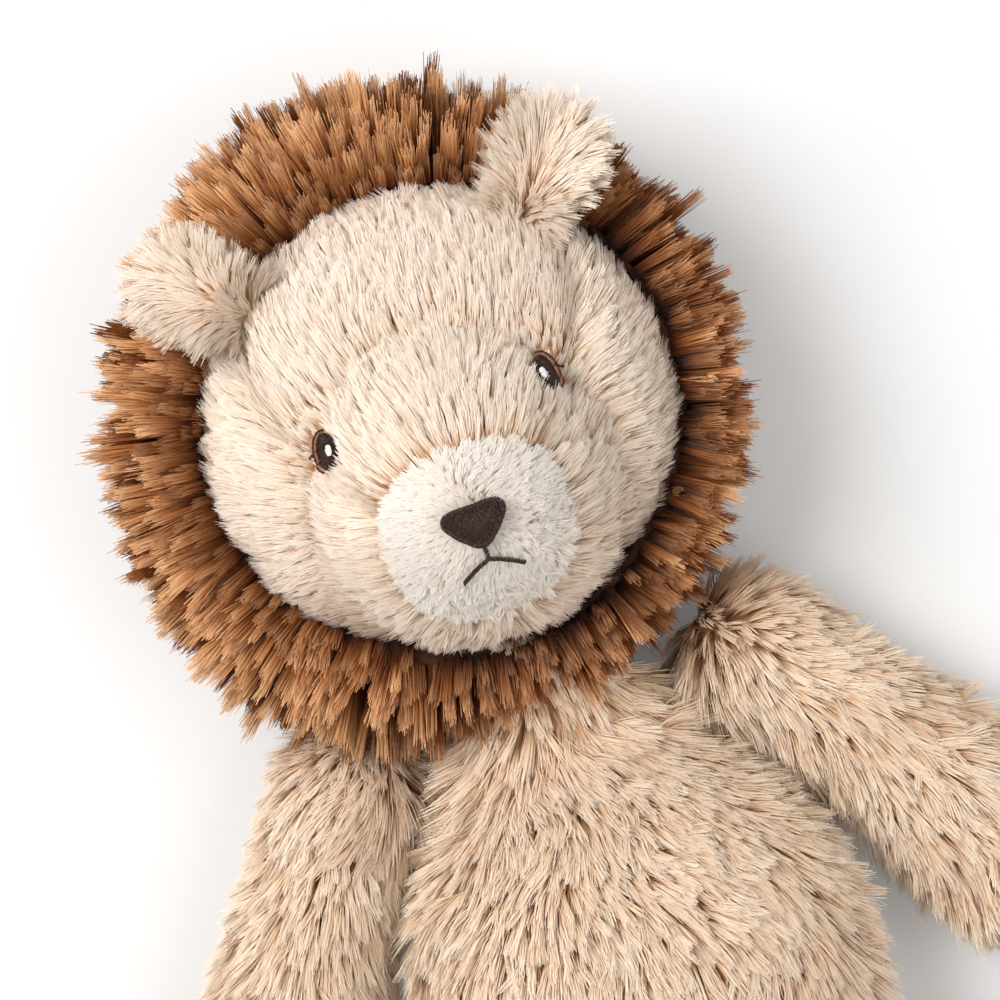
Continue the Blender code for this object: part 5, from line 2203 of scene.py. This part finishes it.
@dataclass
class Studio:
    """The white paper that the toy lies on, two soft lamps and the camera above.

    Each lamp has its place, its width and its watts.
    """

    centre: tuple[float, float] = (0.009, 0.1137)
    roll: float = math.radians(-20)
    view_width: float = 0.310
    view_height: float = 0.070
    lens: float = 135.0
    sensor: float = 36.0
    daylight: str = "#FFFDFA"
    backdrop: str = "#FFFFFF"
    ambient: float = 0.44
    key: tuple[tuple[float, float, float], float, float] = ((-0.86, 0.76, 1.5), 1.1, 30)
    fill: tuple[tuple[float, float, float], float, float] = ((0.9, -0.5, 1.3), 1.4, 8)
    half_floor: float = 4.0
    floor_points: int = 9

    def camera(self) -> None:
        """Set the camera straight above the head and chest."""
        data = bpy.data.cameras.new("camera")
        data.lens = self.lens
        data.sensor_width = self.sensor
        data.clip_start = 0.05
        data.clip_end = 20
        camera = bpy.data.objects.new("camera", data)
        away = self.view_width * self.lens / self.sensor
        camera.location = (*self.centre, self.view_height + away)
        camera.rotation_euler = (0, 0, self.roll)
        bpy.context.scene.collection.objects.link(camera)
        bpy.context.scene.camera = camera

    def lamp(self, name: str, place: tuple[float, float, float], size: float, power: float) -> None:
        """Hang a square soft lamp that points at the toy.

        Args:
            name: the lamp's name.
            place: where it hangs.
            size: how wide it is.
            power: its watts.
        """
        data = bpy.data.lights.new(name, "AREA")
        data.size = size
        data.energy = power
        lamp = bpy.data.objects.new(name, data)
        lamp.location = place
        aim = np.array([*self.centre, 0.05]) - np.array(place)
        pitch = math.atan2(math.hypot(aim[0], aim[1]), -aim[2])
        lamp.rotation_euler = (pitch, 0, math.atan2(aim[1], aim[0]) - math.pi / 2)
        bpy.context.scene.collection.objects.link(lamp)

    def build(self) -> None:
        """Make the floor, the lamps, the world and the camera."""
        steps = np.linspace(-self.half_floor, self.half_floor, self.floor_points)
        x, y = np.meshgrid(steps, steps)
        points = np.stack((x, y, np.zeros_like(x)), axis=-1).reshape(-1, 3)
        faces = grid_faces(*x.shape, False)
        floor = new_mesh("studio_floor", points, faces, STOCK.take(PaperSweep()))
        self.lamp("key_lamp", *self.key)
        self.lamp("fill_lamp", *self.fill)
        world = bpy.data.worlds.new("studio_world")
        bpy.context.scene.world = world
        world.use_nodes = True
        tree = world.node_tree
        background = tree.nodes["Background"]
        seen = seen_directly(tree)
        inputs = {0: seen, 6: linear(self.daylight), 7: linear(self.backdrop)}
        tint = add_node(tree, "ShaderNodeMix", {"data_type": "RGBA"}, inputs).outputs[2]
        tree.links.new(tint, background.inputs["Color"])
        inputs = {"Value": seen, "To Min": self.ambient, "To Max": 1.0}
        strength = add_node(tree, "ShaderNodeMapRange", inputs=inputs).outputs["Result"]
        tree.links.new(strength, background.inputs["Strength"])
        bpy.context.scene.view_settings.view_transform = "Standard"
        self.camera()


def joint_place(frame: dict, name: str) -> Array:
    """A joint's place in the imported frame.

    Args:
        name: the joint's name.

    Returns:
        Its place.
    """
    for joint in frame["joints"]:
        if joint["name"] == name:
            return np.array(joint["pos_m"], float)
    raise KeyError(name)


ARM_STATIONS = (
    (0.0, 1.0, 1.0, 1.0), (0.20, 0.97, 0.97, 0.97), (0.42, 1.0, 0.94, 0.94),
    (0.62, 1.10, 0.97, 0.97), (0.78, 1.13, 0.98, 0.98),
)
LEG_STATIONS = (
    (0.0, 1.0, 1.0, 1.0), (0.24, 0.98, 0.96, 0.96), (0.48, 0.94, 0.92, 0.92),
    (0.68, 0.95, 1.03, 1.03), (0.84, 1.0, 1.19, 1.19),
)


def main() -> None:
    """Build the dressed toy and its studio in order."""
    logging.basicConfig(level=logging.INFO, format="%(name)s: %(message)s")
    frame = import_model()
    _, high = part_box("mane_ring")
    centre = np.array([0.0, high[1] - Mane.radius, 0.0])
    Studio().build()
    Head(centre).build()
    Torso(joint_place(frame, "neck_nod")).build()
    arm_headings = (math.radians(38), math.radians(22))
    leg_headings = (math.radians(14), math.radians(14))
    for side in Side:
        sign = side.value
        step = 100 * (side is Side.LEFT)
        root = joint_place(frame, f"shoulder_{side.word}")
        form = LimbForm(root, sign, 27.5 * MM, 136 * MM, arm_headings, ARM_STATIONS)
        Limb(side, "arm", form, BODY_FUR, seed=600 + step).build()
        root = joint_place(frame, f"hip_{side.word}")
        form = LimbForm(root, sign, 32 * MM, 140 * MM, leg_headings, LEG_STATIONS)
        Limb(side, "leg", form, LEG_FUR, True, seed=1000 + step).build()
    Tail(joint_place(frame, "tail_sway")).build()
    bpy.context.view_layer.update()


if __name__ == "__main__":
    main()
